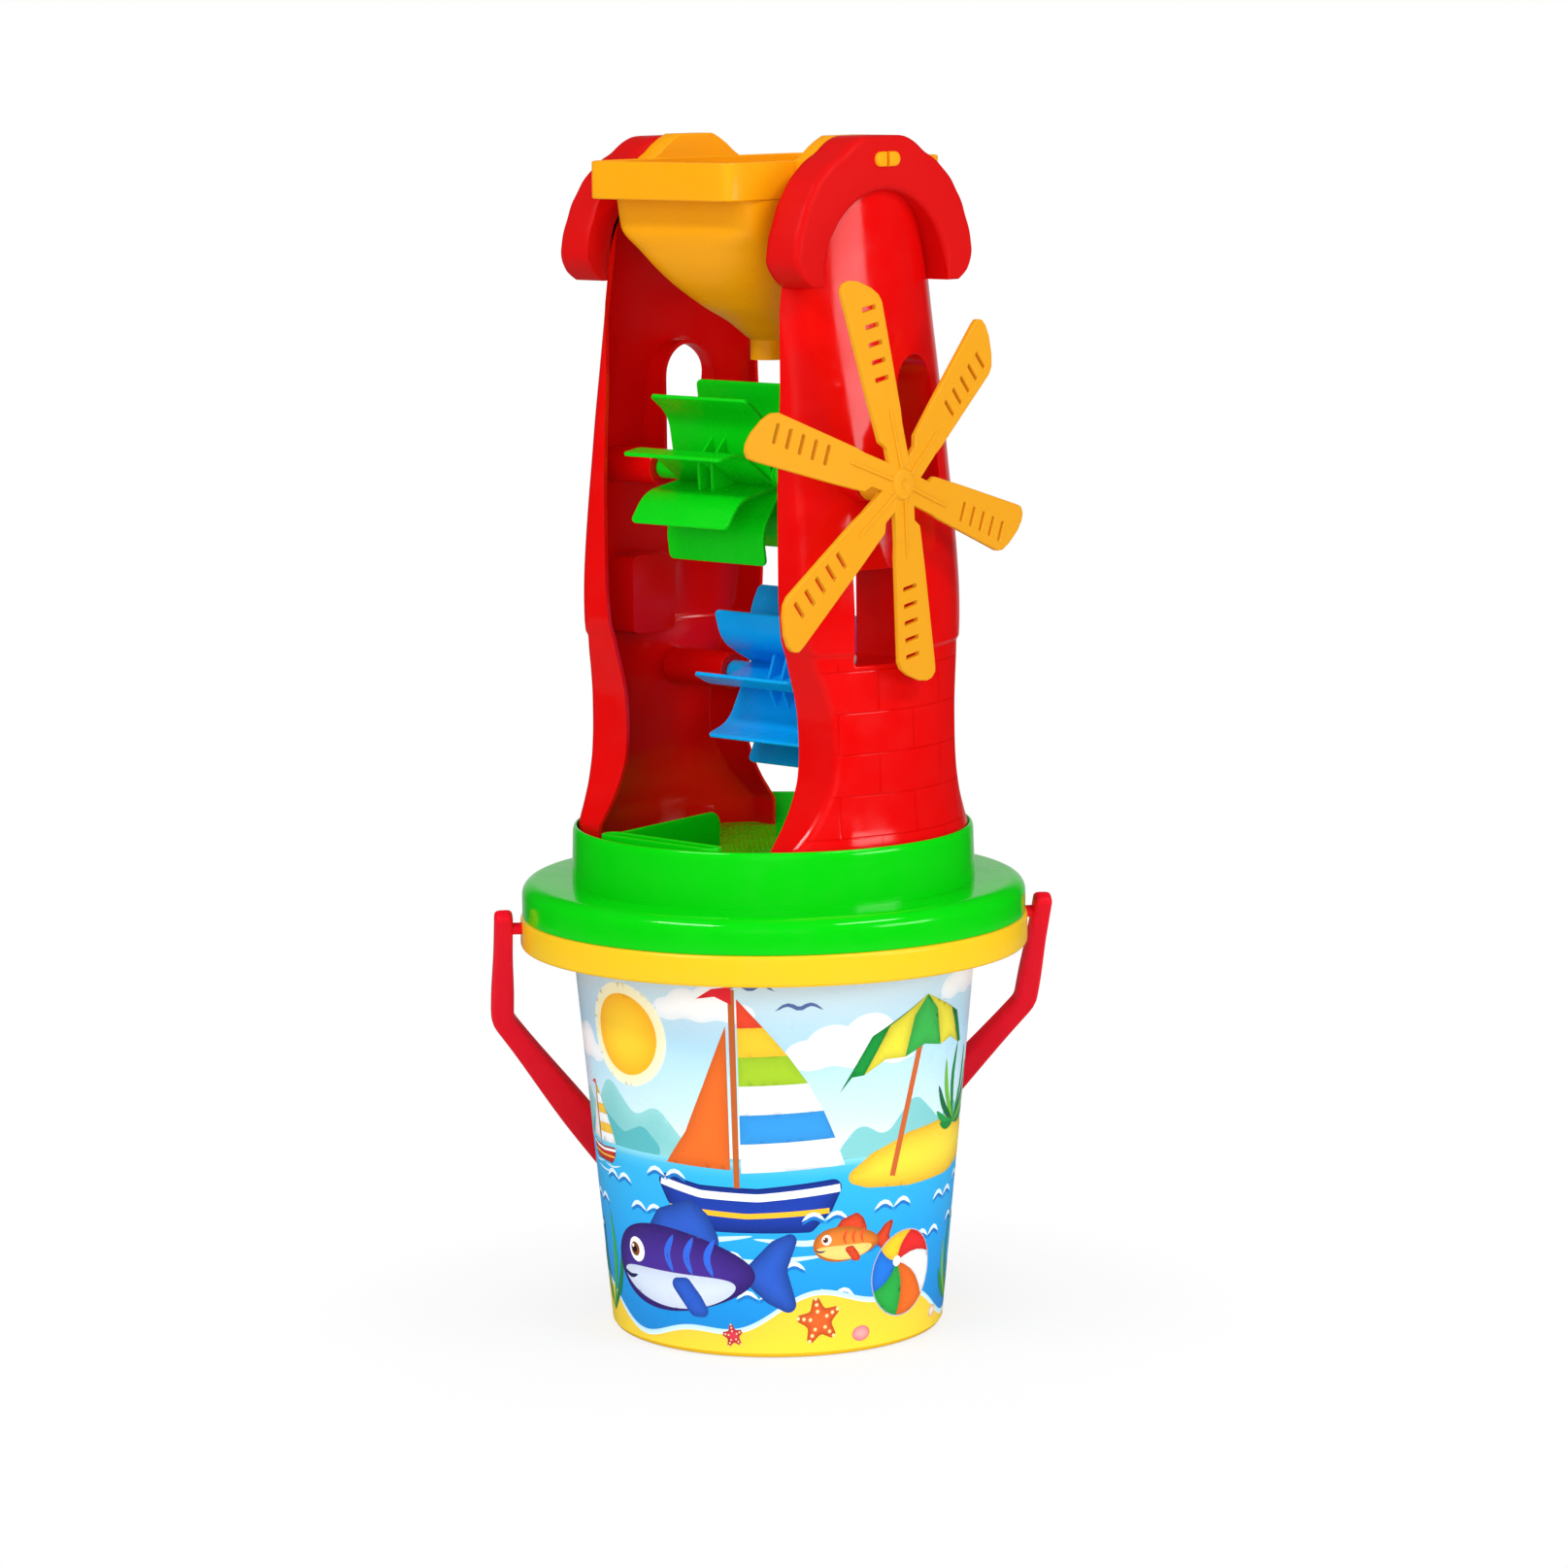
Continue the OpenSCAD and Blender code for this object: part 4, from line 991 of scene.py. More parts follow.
# Bearings: bore, boss and inner end, then the outer ends of the front upper, the rear upper and both lower ones
BORE_R, BOSS_R, BOSS_Y = 3.88, 7.5, 37.5
FRONT_BOSS_Y, REAR_BOSS_Y, LOWER_BOSS_Y = 72.4, 66.6, 70.5
TAB_Y, TAB_TURN, TAB_DOWN = 77.2, 24, 4.6

# Rows of a share of the tower's height and a share of its radius (below and above the ledge) or half width
LEDGE_ROWS = [[0, 1.034], [0.036, 1.034], [0.066, 1.018], [0.098, 1.006], [0.171, 1], [0.303, 0.988]]
UPPER_ROWS = [[0.309, 1], [0.332, 1], [0.577, 0.93], [0.78, 0.845], [1, 0.76]]
FACE_ROWS = [[0, 1.182], [0.036, 1.182], [0.052, 1.115], [0.074, 1.005], [0.105, 0.89], [0.136, 0.82], [0.168, 0.8],
             [0.215, 0.815], [0.25, 0.86], [0.282, 0.925], [0.304, 0.965], [0.313, 0.99], [0.328, 1.02],
             [0.4, 1.05], [0.5, 1.05], [0.6, 1.025], [0.68, 1], [1, 1]]


def height_share(z):
    """Height z as a share of the tower's height above the sieve."""
    s = sizes()
    return (z - s["sieve_level"]) / s["shell_height"]


def shell_radius(z):
    """Radius of a shell's turned face at height z, with a small step at the ledge."""
    k = height_share(z)
    low, high = smooth_between(k, LEDGE_ROWS), smooth_between(k, UPPER_ROWS)
    return sizes()["shell_radius"] * (low + (high - low) * np.clip((k - LEDGE) / LEDGE_STEP, 0, 1))


def face_at(z, depth=0.0):
    """A shell's face at height z, sunk by depth: its radius, its half width, and that less the rounded corner."""
    arch = np.sqrt(np.maximum(ARCH_R**2 - (z - ARCH_MID) ** 2, 0.01))
    half = np.where(z > ARCH_MID, arch, ARCH_R * smooth_between(height_share(z), FACE_ROWS))
    radius = shell_radius(z) - depth
    width = np.minimum(half - depth, np.sqrt(np.maximum(radius**2 - EDGE_Y**2, 1.0)))
    return radius, width, width - np.minimum(CORNER - depth, width * 0.5)


def shell_point(u, z, depth=0.0):
    """A shell as a sheet of z and of u, from -2 to 2: turned face to 1, rounded corner to 1.5, side wall to 2."""
    radius, width, flat = face_at(z, depth)
    a = np.abs(u)
    q, k = np.clip((a - 1) * 2, 0, 1), np.clip((a - 1.5) * 2, 0, 1)
    y0, y1 = -np.sqrt(radius**2 - flat**2), -np.sqrt(radius**2 - width**2)
    y2 = np.minimum(y1 + (width - flat), -EDGE_Y)
    x = np.where(a > 1, (1 - q) ** 2 * flat + (2 * q * (1 - q) + q**2) * width, a * flat)
    y = np.where(a > 1, (1 - q) ** 2 * y0 + 2 * q * (1 - q) * y1 + q**2 * y2,
                 -np.sqrt(radius**2 - (np.minimum(a, 1) * flat) ** 2))
    y = np.where(a > 1.5, y2 + (-EDGE_Y - y2) * k, y)
    return np.stack([np.sign(u) * x, y, z + 0 * u], -1)


def arched(x, w, sill, h):
    """Outline of an arched window: a half circle on upright jambs, cut in short steps."""
    r, sill = w / 2, sizes()["sieve_level"] + sill
    top = oval(x, sill + h - r, r, r, np.linspace(0, np.pi, 25))
    jamb = np.linspace(0, 1, 12)[1:-1, None]
    left = top[-1] + ([x - r, sill] - top[-1]) * jamb
    right = np.array([x + r, sill]) + (top[0] - [x + r, sill]) * jamb
    foot = np.stack([np.linspace(x - r, x + r, 12), np.full(12, sill)], 1)
    return np.concatenate([top, left, foot, right])


def oblong(x, w, sill, h):
    """Outline of an upright oblong with small round corners, its sides cut in short steps."""
    box = rounded_box(w / 2, h / 2, 1.2, 3) + [x, sizes()["sieve_level"] + sill + h / 2]
    closed = np.concatenate([box, box[:1]])
    return point_at(closed, np.linspace(0, run_along(closed)[-1], 96, endpoint=False))


def on_face(outline, depth):
    """Puts an upright outline on a shell's face, sunk by depth."""
    x, z = outline.T
    return np.stack([x, -(np.sqrt(shell_radius(z) ** 2 - x**2) - depth), z], 1)


def at_depth(outline, y):
    """An upright outline at y in front of the middle plane."""
    return np.column_stack([outline[:, 0], np.full(len(outline), -y), outline[:, 1]])


def reveal(outline, floor_y, blind):
    """A window's lip and tunnel: a quarter-round lip on the face, walls going in to floor_y, and a floor if blind."""
    o = anticlockwise(outline)
    wide = inset(o, -SHELL_T)
    rings = [at_depth(o, floor_y), on_face(o, LIP)]
    rings += [on_face(inset(o, -LIP * (1 - math.cos(t))), LIP * (1 - math.sin(t))) for t in np.radians([25, 50, 75])]
    rings += [on_face(inset(o, -0.75), -0.02), on_face(wide, 1.0), at_depth(wide, floor_y - SHELL_T * blind)]
    return grid(np.array(rings), close_u=not blind, close_v=True, caps=blind)


def stations(first, *stretches):
    """Stations from first on, evenly spaced in each stretch, which is given by its end and how many it spans."""
    out = [np.array([first])]
    for end, count in stretches:
        out.append(np.linspace(out[-1][-1], end, count)[1:])
    return np.concatenate(out)


# The net's millimetres to one unit of u, and the map's height for what has no courses
NET_SCALE = 50.0
COURSE_R, NO_COURSES = 70.0, 300.0


def shell_skin(windows):
    """The wall of a shell: a Delaunay net over (u, z) without its windows, as an outer and an inner sheet, and rims."""
    foot = sizes()["sieve_level"]
    z = stations(foot, (foot + 40, 28), (foot + 84, 20), (foot + 90, 14), (ARCH_MID, 50))
    z = np.concatenate([z, ARCH_MID + (ARCH_R - 0.2) * np.sin(np.linspace(0, np.pi / 2, 16)[1:])])
    u = stations(-2, (-1.5, 4), (-1, 7), (1, 45), (1.5, 7), (2, 4)) * NET_SCALE
    loops = []
    for window in windows:
        x, level = inset(anticlockwise(window), -LIP).T
        loops.append(np.stack([x / face_at(level)[2] * NET_SCALE, level], 1))
    net = np.stack(np.meshgrid(u, z, indexing="ij"), -1)[1:-1, 1:-1].reshape(-1, 2)
    for loop in loops:
        middle = loop.mean(0)
        net = net[~inside(net, middle + (loop - middle) * 1.06)]
    sides = [(u, 0 * u + z[0]), (0 * z + u[-1], z), (u[::-1], 0 * u + z[-1]), (0 * z + u[0], z[::-1])]
    edge = np.concatenate([np.stack(side, 1)[:-1] for side in sides])
    verts, tris = triangles_between([edge] + loops, net)
    outer, hollow = (shell_point(verts[:, 0] / NET_SCALE, verts[:, 1], depth) for depth in (0.0, SHELL_T))
    p = outer[tris]
    if (np.cross(p[:, 1] - p[:, 0], p[:, 2] - p[:, 0])[:, 1]).sum() > 0:
        tris = tris[:, ::-1]
    rim = np.stack([shell_point(edge[:, 0] / NET_SCALE, edge[:, 1], depth) for depth in (0.0, SHELL_T)])
    return [(outer, [tris]), (hollow, [tris[:, ::-1]]), grid(rim, close_v=True, turn=False)]


# Scallops of a roof: shares of its half width and of its height above the arch's middle
ROOF_ROWS = [[0.23, 1], [0.455, 0.885], [0.672, 0.765], [0.812, 0.62], [0.915, 0.446], [0.99, 0.223], [0.98, 0.137],
             [0.82, 0]]
SCALLOP, ROOF_ARCH_R, ROOF_REBATE_Y = 0.9, 36.0, 50.0
# The roofs are the tower's own plastic; their red is the tower's red darkened by this factor as painted shade
ROOF_PAINTED_SHADE = 0.86

# Roofs: half width and height above the arch's middle
FRONT_ROOF, REAR_ROOF = (52.0, 57.0), (53.8, 56.0)


def roof_outline(half_w, high):
    """Upper outline of a roof: from row to row a scallop with a bulge of sin(pi t), then smoothed three times."""
    right = np.array([[w * half_w, ARCH_MID + h * high] for w, h in ROOF_ROWS])
    stones = []
    for a, b in zip(right[:-1], right[1:]):
        t = np.linspace(0, 1, 7)[:-1, None]
        out = np.array([(a - b)[1], -(a - b)[0]]) / np.linalg.norm(a - b)
        out = out if out[0] + out[1] * 0.3 > 0 else -out
        stones.append(a + (b - a) * t + out * SCALLOP * np.sin(np.pi * t))
    right = np.concatenate(stones + [right[-1:]])
    outer = np.concatenate([right[::-1], right * [-1, 1]])
    total = run_along(outer)[-1]
    outer = point_at(outer, np.linspace(0, total, int(total / 1.5)))
    for _ in range(3):
        outer[1:-1] = (outer[:-2] + 2 * outer[1:-1] + outer[2:]) / 4
    return outer


def roof_block(half_w, high):
    """The arched roof, flat behind, carried forward and rounded by e(1 - cos t) inwards and e(1 - sin t) back."""
    outer = roof_outline(half_w, high)
    arch = oval(0, 0, ROOF_ARCH_R, ROOF_ARCH_R, np.linspace(0, np.pi, 61)[::-1])
    outline = np.concatenate([outer, arch + [0, ARCH_MID]])
    wider = np.concatenate([outer, arch * [41.6 / 36, 43.4 / 36] + [0, ARCH_MID]])
    on_arch = np.arange(len(outline)) >= len(outer)
    edge = np.where(on_arch, 2.4, 3.0) * np.clip((outline[:, 1] - ARCH_MID - 1) / 8, 0.3, 1)
    rings = [at_depth(inset(wider, 0.5), EDGE_Y), at_depth(wider, EDGE_Y + 0.5), at_depth(wider, ROOF_REBATE_Y),
             at_depth(outline, ROOF_REBATE_Y + 0.6)]
    for t in np.radians([0, 15, 30, 45, 60, 75, 90]):
        rings.append(at_depth(inset(outline, edge * (1 - math.cos(t))), ROOF_Y - edge * (1 - math.sin(t))))
    return grid(np.array(rings), close_v=True, caps=True)


def bearing(x, z, outer_y):
    """A bearing boss on a shell: a short tube along Y with rounded ends."""
    rows = [[BORE_R, BOSS_Y, 0.3], [BOSS_R, BOSS_Y, 0.8], [BOSS_R, outer_y, 0.8], [BORE_R, outer_y, 0.3]]
    return facing_front(turned(rounded_rows(rows, 4), 64), x, z)


def map_courses(mesh):
    """Gives a shell its UV map for the brick courses, in tenths of a metre: the way round it and its outer height."""
    foot = sizes()["sieve_level"]
    co = np.zeros(len(mesh.vertices) * 3)
    mesh.vertices.foreach_get("co", co)
    x, y, z = co.reshape(-1, 3).T / MM
    corner = np.zeros(len(mesh.loops), int)
    mesh.loops.foreach_get("vertex_index", corner)
    outside = np.hypot(x, y) > shell_radius(z) - 0.9
    courses = np.stack([np.arctan2(x, np.abs(y)) * COURSE_R, np.where(outside, z - foot, NO_COURSES)], 1)[corner] / 100
    mesh.uv_layers.new(name="courses").data.foreach_set("uv", courses.astype(np.float32).ravel())


class SANDTOY_OT_shells(bpy.types.Operator):
    """Form the tower's front and rear shells with their windows, bearings, tabs and arched roofs"""

    bl_idname = "sandtoy.shells"
    bl_label = "Tower shells"

    def execute(self, context):
        look = moulded_plastic("tower_plastic", colours().tower, 0.13, 0.3, relief=brick_courses)
        # Roof material: the tower's red darkened as painted shade, with a rougher, less shiny satin finish
        shaded_satin = moulded_plastic("roof_plastic", [c * ROOF_PAINTED_SHADE for c in colours().tower], 0.45, 0.1,
                                grain=0.06)
        foot = sizes()["sieve_level"]
        arch, window, niche = arched(*ARCH_WINDOW), oblong(*SQUARE_WINDOW), oblong(*NICHE)
        tab = moved(plate(rounded_box(6, 1, 0.3), foot - TAB_DOWN, foot + 8, 0.3), 0, -TAB_Y, 0)
        shared = [bearing(LOWER_X, LOWER_Z, LOWER_BOSS_Y)] + [rotated(tab, 2, turn) for turn in (-TAB_TURN, TAB_TURN)]
        front = [*shell_skin([arch, window]), reveal(arch, FRONT_REVEAL_Y, False),
                 reveal(window, FRONT_REVEAL_Y, False), bearing(UPPER_X, UPPER_Z, FRONT_BOSS_Y), *shared]
        rear = [*shell_skin([arch, niche]), reveal(arch, REAR_REVEAL_Y, False),
                reveal(niche, NICHE_Y, True), bearing(UPPER_X, UPPER_Z, REAR_BOSS_Y), *shared]
        rear, rear_roof = [mirrored(part, 1) for part in rear], mirrored(roof_block(*REAR_ROOF), 1)
        for name, parts, roof in (("front_shell", front, roof_block(*FRONT_ROOF)), ("rear_shell", rear, rear_roof)):
            piece(name + "_roof", [roof], "mill", shaded_satin, angle=50)
            obj = piece(name + "_moulding", parts, "mill", look, [name], angle=34)
            map_courses(obj.data)
        return {"FINISHED"}


# Hopper

MOUTH_L, MOUTH_W = 62.5, 38.5
BAND_Z, BAND_H, BAND_K = 454.0, 14.8, 18
SPOUT_Z, FUNNEL_H = 389.5, 64.5
HOPPER_T, HOPPER_TOP, STUD_Z = 1.6, 478.0, 469.0

# Rows from the spout up: shares of the mouth's half length and half width, share of the height, squareness
FUNNEL_ROWS = np.array([[0.112, 0.187, 0.0, 2], [0.112, 0.187, 0.12, 2], [0.149, 0.237, 0.147, 2],
                        [0.262, 0.362, 0.234, 2.2], [0.442, 0.537, 0.34, 2.6], [0.63, 0.745, 0.504, 3.5],
                        [0.744, 0.893, 0.674, 5], [0.803, 0.979, 0.823, 9], [0.809, 0.985, 1, 12]])


def squared_ring(a, b, z, k):
    """A level ring at z, of half length a and half width b, between an ellipse (k = 2) and a rectangle (large k)."""
    ring = squared(224, k, 1e-6) * [a, b]
    return np.column_stack([ring, np.full(len(ring), z)])


def hopper_bowl():
    """Spout, funnel and band as rings: up the outside, over the band's rounded edge and down the inside."""
    t = HOPPER_T
    q = stations(0, (0.12, 4), (0.3, 16), (1.0, 40))
    a, b, k = (smooth_between(q, FUNNEL_ROWS[:, [2, c]]) * f for c, f in ((0, MOUTH_L), (1, MOUTH_W), (3, 1)))
    z = SPOUT_Z + q * FUNNEL_H
    outside = [squared_ring(*row) for row in zip(a, b, z, k)]
    within = [squared_ring(*row) for row in zip(a - t, b - t, z + np.where(q > 0.98, t, 0), k)]
    over = [squared_ring(MOUTH_L - pull, MOUTH_W - pull, BAND_Z + rise, BAND_K) for pull, rise in (
        (1.1, 0.0), (0.35, 0.12), (0.0, 0.6), (0.0, BAND_H - 0.7), (0.2, BAND_H - 0.2), (0.7, BAND_H),
        (t - 0.5, BAND_H), (t, BAND_H - 0.5), (t, t))]
    return grid(np.array(outside + over + within[::-1]), True, True)


def hopper_end():
    """The front end block, and the two halves of the split stud on it."""
    top, band_top = HOPPER_TOP, BAND_Z + BAND_H
    half = [[9.4, top, 2], [13.5, top - 1.9, 3], [17.5, top - 4.2, 3], [21.5, top - 7.2, 3], [25, band_top, 0.6],
            [25, BAND_Z, 0]]
    block = rounded_rows(half + [[-x, z, r] for x, z, r in half[::-1]], 4)
    lobe = np.concatenate([oval(4, 0, 3, 2.9, np.radians(np.linspace(-90, 90, 25))), [[0.6, 2.9], [0.6, -2.9]]])
    studs = [plate(lobe * [side, 1] + [0, STUD_Z], EDGE_Y - 1, ROOF_Y + 1.4, 1.1, 4) for side in (1, -1)]
    return [facing_front(part) for part in (plate(block, MOUTH_W - 0.8, EDGE_Y - 0.2, 0.7), *studs)]


class SANDTOY_OT_hopper(bpy.types.Operator):
    """Form the orange hopper: funnel, spout, band, end blocks and the split studs that hold the roofs"""

    bl_idname = "sandtoy.hopper"
    bl_label = "Hopper"

    def execute(self, context):
        look = moulded_plastic("hopper_plastic", colours().hopper, 0.3, 0.18)
        end = hopper_end()
        parts = [hopper_bowl(), *end, *(mirrored(part, 1) for part in end)]
        piece("hopper_moulding", parts, "mill", look, ["hopper"], angle=30)
        return {"FINISHED"}


# Paddle wheels and sails

JOURNAL_R, JOURNAL_END, SAIL_JOURNAL_END = 3.8, 57.0, 72.9
STEP_R, HUB_R, HUB_END = 4.4, 5.0, 37.0
PADDLE_HALF_T, PADDLE_CORNER, PADDLE_BEND = 0.75, 2.6, math.radians(44)
WEB_R, WEB_Y = 16.5, 3.5
LIP_SHARE, BEND_SHARE, BEND_SOFT = 0.38, 2 / 3, 0.45


def paddle_line():
    """Middle line of a paddle: straight off the hub's side, an even bend, then a straight lip."""
    radius = sizes()["wheel_radius"]
    lip = radius * LIP_SHARE
    inner, soft = math.sqrt((radius * BEND_SHARE) ** 2 - HUB_R**2), lip * BEND_SOFT
    r = soft / math.tan(PADDLE_BEND / 2)
    x, t = HUB_R - PADDLE_HALF_T, np.linspace(0, PADDLE_BEND, 14)
    arc = np.stack([x + r * (1 - np.cos(t)), inner - soft + r * np.sin(t)], 1)
    tip = [x + lip * math.sin(PADDLE_BEND), inner + lip * math.cos(PADDLE_BEND)]
    return np.concatenate([[[x, 0]], arc, [tip]])


def paddle():
    """A paddle about its wheel's axis: a thin rounded section carried along its line, with round corners at the tip."""
    line, t, corner_r = paddle_line(), PADDLE_HALF_T, PADDLE_CORNER
    total = run_along(line)[-1]
    near = 1 - np.cos(np.linspace(0, math.pi / 2, 8))
    s = np.concatenate([np.linspace(0, total - corner_r, 40), total - corner_r * near[::-1][1:]])
    d, e = (np.clip((s - (total - r)) / r, 0, 1) for r in (corner_r, t))
    half = sizes()["wheel_half_width"] - corner_r * (1 - np.sqrt(np.maximum(1 - d**2, 0)))
    thick = t * np.sqrt(np.maximum(1 - e**2, 0.02))
    section = rounded_box(1, 1, 0.5, 4)
    x, z = point_at(line, s).T
    points = np.column_stack([x, 0 * x, z])
    along = unit(np.gradient(points, axis=0))
    side = np.stack([along[:, 2], 0 * x, -along[:, 0]], 1)
    across = np.sign(section[:, 1]) * (half[:, None] - (1 - np.abs(section[:, 1])) * t)
    rings = points[:, None] + side[:, None] * (section[:, :1] * thick[:, None, None]) + across[..., None] * [0, 1, 0]
    return grid(rings, close_v=True, caps=True)


def wheel(front_end, turn, mirror):
    """Paddles, hub tube, two webs from paddle to paddle and journals about the Y axis."""
    count, wide = sizes()["paddle_count"], sizes()["wheel_half_width"] + 1
    blade = mirrored(paddle(), 0)
    parts = [rotated(blade, 1, -360 * k / count) for k in range(count)]
    hub = [[0, -JOURNAL_END, 0], [JOURNAL_R, -JOURNAL_END, 0.6], [JOURNAL_R, -HUB_END, 0.2], [STEP_R, -HUB_END, 0.5],
           [STEP_R, -wide, 0.2], [HUB_R, -wide, 0.3], [HUB_R, wide, 0.3], [STEP_R, wide, 0.2],
           [STEP_R, HUB_END, 0.5], [JOURNAL_R, HUB_END, 0.2], [JOURNAL_R, front_end, 0.6], [0, front_end, 0]]
    parts.append(facing_front(turned(rounded_rows(hub, 4), 64)))
    b = np.radians(90 + 360 * np.arange(count) / count) + math.asin((HUB_R - PADDLE_HALF_T) / WEB_R)
    web = rounded_line(oval(0, 0, WEB_R, WEB_R, b), 0.4, 2)
    parts += [facing_front(plate(web, y - 0.75, y + 0.75, 0.45)) for y in (-WEB_Y, WEB_Y)]
    if mirror:
        parts = [mirrored(part, 0) for part in parts]
    return [rotated(part, 1, turn) for part in parts]


class SANDTOY_OT_wheels(bpy.types.Operator):
    """Make the green upper and the blue lower paddle wheel"""

    bl_idname = "sandtoy.wheels"
    bl_label = "Paddle wheels"

    def execute(self, context):
        green = moulded_plastic("upper_wheel_plastic", colours().upper_wheel, 0.26, 0.15)
        blue = moulded_plastic("lower_wheel_plastic", colours().lower_wheel, 0.24, 0.15)
        parts = [moved(part, UPPER_X, 0, UPPER_Z) for part in wheel(SAIL_JOURNAL_END, UPPER_TURN, False)]
        piece("upper_wheel_moulding", parts, "upper_rotor", green, ["upper_wheel"])
        parts = [moved(part, LOWER_X, 0, LOWER_Z) for part in wheel(JOURNAL_END, LOWER_TURN, True)]
        piece("lower_wheel_moulding", parts, "lower_rotor", blue, ["lower_wheel"])
        return {"FINISHED"}


# Rows of a blade's outline: share of the sails' radius, share of the blade's width, corner radius
BLADE_ROWS = [[0, 0.27, 0], [0.28, 0.27, 1.5], [0.34, 0.295, 3], [0.86, 0.33, 3], [0.9, 0.27, 3], [0.94, 0.1, 4],
              [0.985, -0.2, 3], [1, -0.42, 2], [0.996, -0.56, 2], [0.97, -0.67, 2], [0.93, -0.67, 3],
              [0.44, -0.5, 6], [0.225, -0.41, 1.2], [0.19, -0.27, 1.2], [0, -0.27, 0]]
SAIL_Y, SAIL_CONE, SAIL_TURN = 88.4, 5.3, -9.2
UPPER_TURN, LOWER_TURN = -9.7, 28.7
BLADE_W, BLADE_T = 20.8, 2.4

# Slots, in shares of the blade's width and the sails' radius, and the rib
SLOT_COUNT, SLOT_HALF_W, SLOT_HALF_H, SLOT_X, FIRST_SLOT, SLOT_PITCH = 5, 0.185, 0.04, -0.05, 0.51, 0.0845
RIB_START, RIB_L, RIB_HALF_W, RIB_HALF_H, RIB_TAPER = 3.5, 26.0, 0.7, 0.9, 0.35


def sail_blade():
    """A blade lying flat: slotted plate, and a tapering rib from the boss along its stem."""
    r = sizes()["sail_radius"]
    outline = rounded_rows([[w * BLADE_W, q * r, soft] for q, w, soft in BLADE_ROWS], 4)
    slot = rounded_box(BLADE_W * SLOT_HALF_W, BLADE_W * SLOT_HALF_H, 0.4, 2) + [BLADE_W * SLOT_X, 0]
    slots = [slot + [0, r * (FIRST_SLOT + SLOT_PITCH * k)] for k in range(SLOT_COUNT)]
    along, pull = rounded_ends(RIB_L, RIB_HALF_W, 12)
    line = np.column_stack([0 * along, RIB_START + along, np.full(len(along), BLADE_T)])
    end = 1 - pull / 0.75
    low = end * np.linspace(1.0, RIB_TAPER, len(line))
    rib = sweep(line, rounded_box(RIB_HALF_W, RIB_HALF_H, 0.4, 3), end, low, up=[0.0, 0.0, 1.0])
    return pierced_plate(outline, slots, 0.0, BLADE_T, 0.5), rib


class SANDTOY_OT_sails(bpy.types.Operator):
    """Make the orange sails: slotted blades that lean back from a round boss with a pin"""

    bl_idname = "sandtoy.sails"
    bl_label = "Sails"

    def execute(self, context):
        count = sizes()["blade_count"]
        look = moulded_plastic("sails_plastic", colours().sails, 0.34, 0.18, grain=0.08)
        blade = [moved(rotated(part, 0, -SAIL_CONE), 0, 0, SAIL_Y) for part in sail_blade()]
        parts = [rotated(part, 2, -SAIL_TURN - 360 * k / count) for k in range(count) for part in blade]
        boss = [[0, SAIL_JOURNAL_END, 0], [7, SAIL_JOURNAL_END, 0.8], [7, SAIL_Y + 1, 1.2], [5.6, SAIL_Y + 2.9, 1.0],
                [2.2, SAIL_Y + 3.2, 0.5], [1.6, SAIL_Y + 2.6, 0.4], [0, SAIL_Y + 2.6, 0]]
        pin = [[0, 50, 0], [2, 50, 0.5], [2, 73.5, 0], [0, 73.5, 0]]
        parts += [turned(rounded_rows(boss, 5), 72), turned(rounded_rows(pin, 3), 32)]
        parts = [facing_front(part, UPPER_X, UPPER_Z) for part in parts]
        piece("sails_moulding", parts, "upper_rotor", look, ["sails"])
        return {"FINISHED"}


# Stage

WHITE_LIGHT = (1, 1, 1, 1)
VIEW_AZIMUTH, VIEW_ELEVATION, VIEW_ROLL = 47.0, 8.56, -0.57
VIEW_DISTANCE, VIEW_HEIGHT = 2.0547, 0.21925
LENS, SENSOR, SHIFT = 117.6, 36.0, 0.00728
LAMP_DISTANCE, LAMP_HEIGHT = 1.5, 0.24

# Strength of the world's plain light, and of the room that glossy faces mirror: dim, with a pale wall from a cosine on
PLAIN_LIGHT, DIM, PALE, WALL_FROM = 0.55, 0.02, 0.6, 0.88

# The floor: its colours, how much glossy faces see it white, and where its shadow fades, in metres
PAPER, MIRRORED_PAPER, MIRRORED_SHARE = (0.86, 0.86, 0.87, 1), (0.12, 0.12, 0.12, 1), 0.08
SHADOW_NEAR, SHADOW_FAR, SHADOW_WHITE = 0.07, 0.2, 0.75
FLOOR_RINGS = [0.001, 0.2, 0.4, 0.9]

# Soft boxes: azimuth, elevation, width, height, power, and whether glossy faces mirror them
LAMPS = {
    "right_box": (13, 10, 0.7, 0.3, 4, True),
    "right_top": (6, 46, 0.7, 0.17, 5.5, True),
    "left_top": (-97, 46, 0.7, 0.17, 7.5, True),
    "front_fill": (-50, 12, 1.0, 0.8, 7.5, False),
}


def set_round(obj, azimuth, elevation, distance, height, roll=0.0):
    """Sets an object at an azimuth (0 in front, 90 at the right) and an elevation, facing the axis at a height."""
    a, e = math.radians(azimuth), math.radians(elevation)
    back = Vector((math.sin(a) * math.cos(e), -math.cos(a) * math.cos(e), math.sin(e)))
    obj.location = Vector((0, 0, height)) + back * distance
    turn = (-back).to_track_quat("-Z", "Y").to_matrix() @ Matrix.Rotation(math.radians(roll), 3, "Z")
    obj.rotation_mode = "QUATERNION"
    obj.rotation_quaternion = turn.to_quaternion()
    bpy.context.scene.collection.objects.link(obj)


def combined(tree, operation, first, second):
    """A socket combined with a second socket or with a plain number."""
    node = wire(tree, "ShaderNodeMath", [(0, first)], operation=operation)
    if isinstance(second, float):
        node.inputs[1].default_value = second
    else:
        tree.links.new(second, node.inputs[1])
    return node.outputs[0]


def mixed(tree, share, first, second):
    """Two shaders mixed by a share."""
    return wire(tree, "ShaderNodeMixShader", [(0, share), (1, first.outputs[0]), (2, second.outputs[0])])


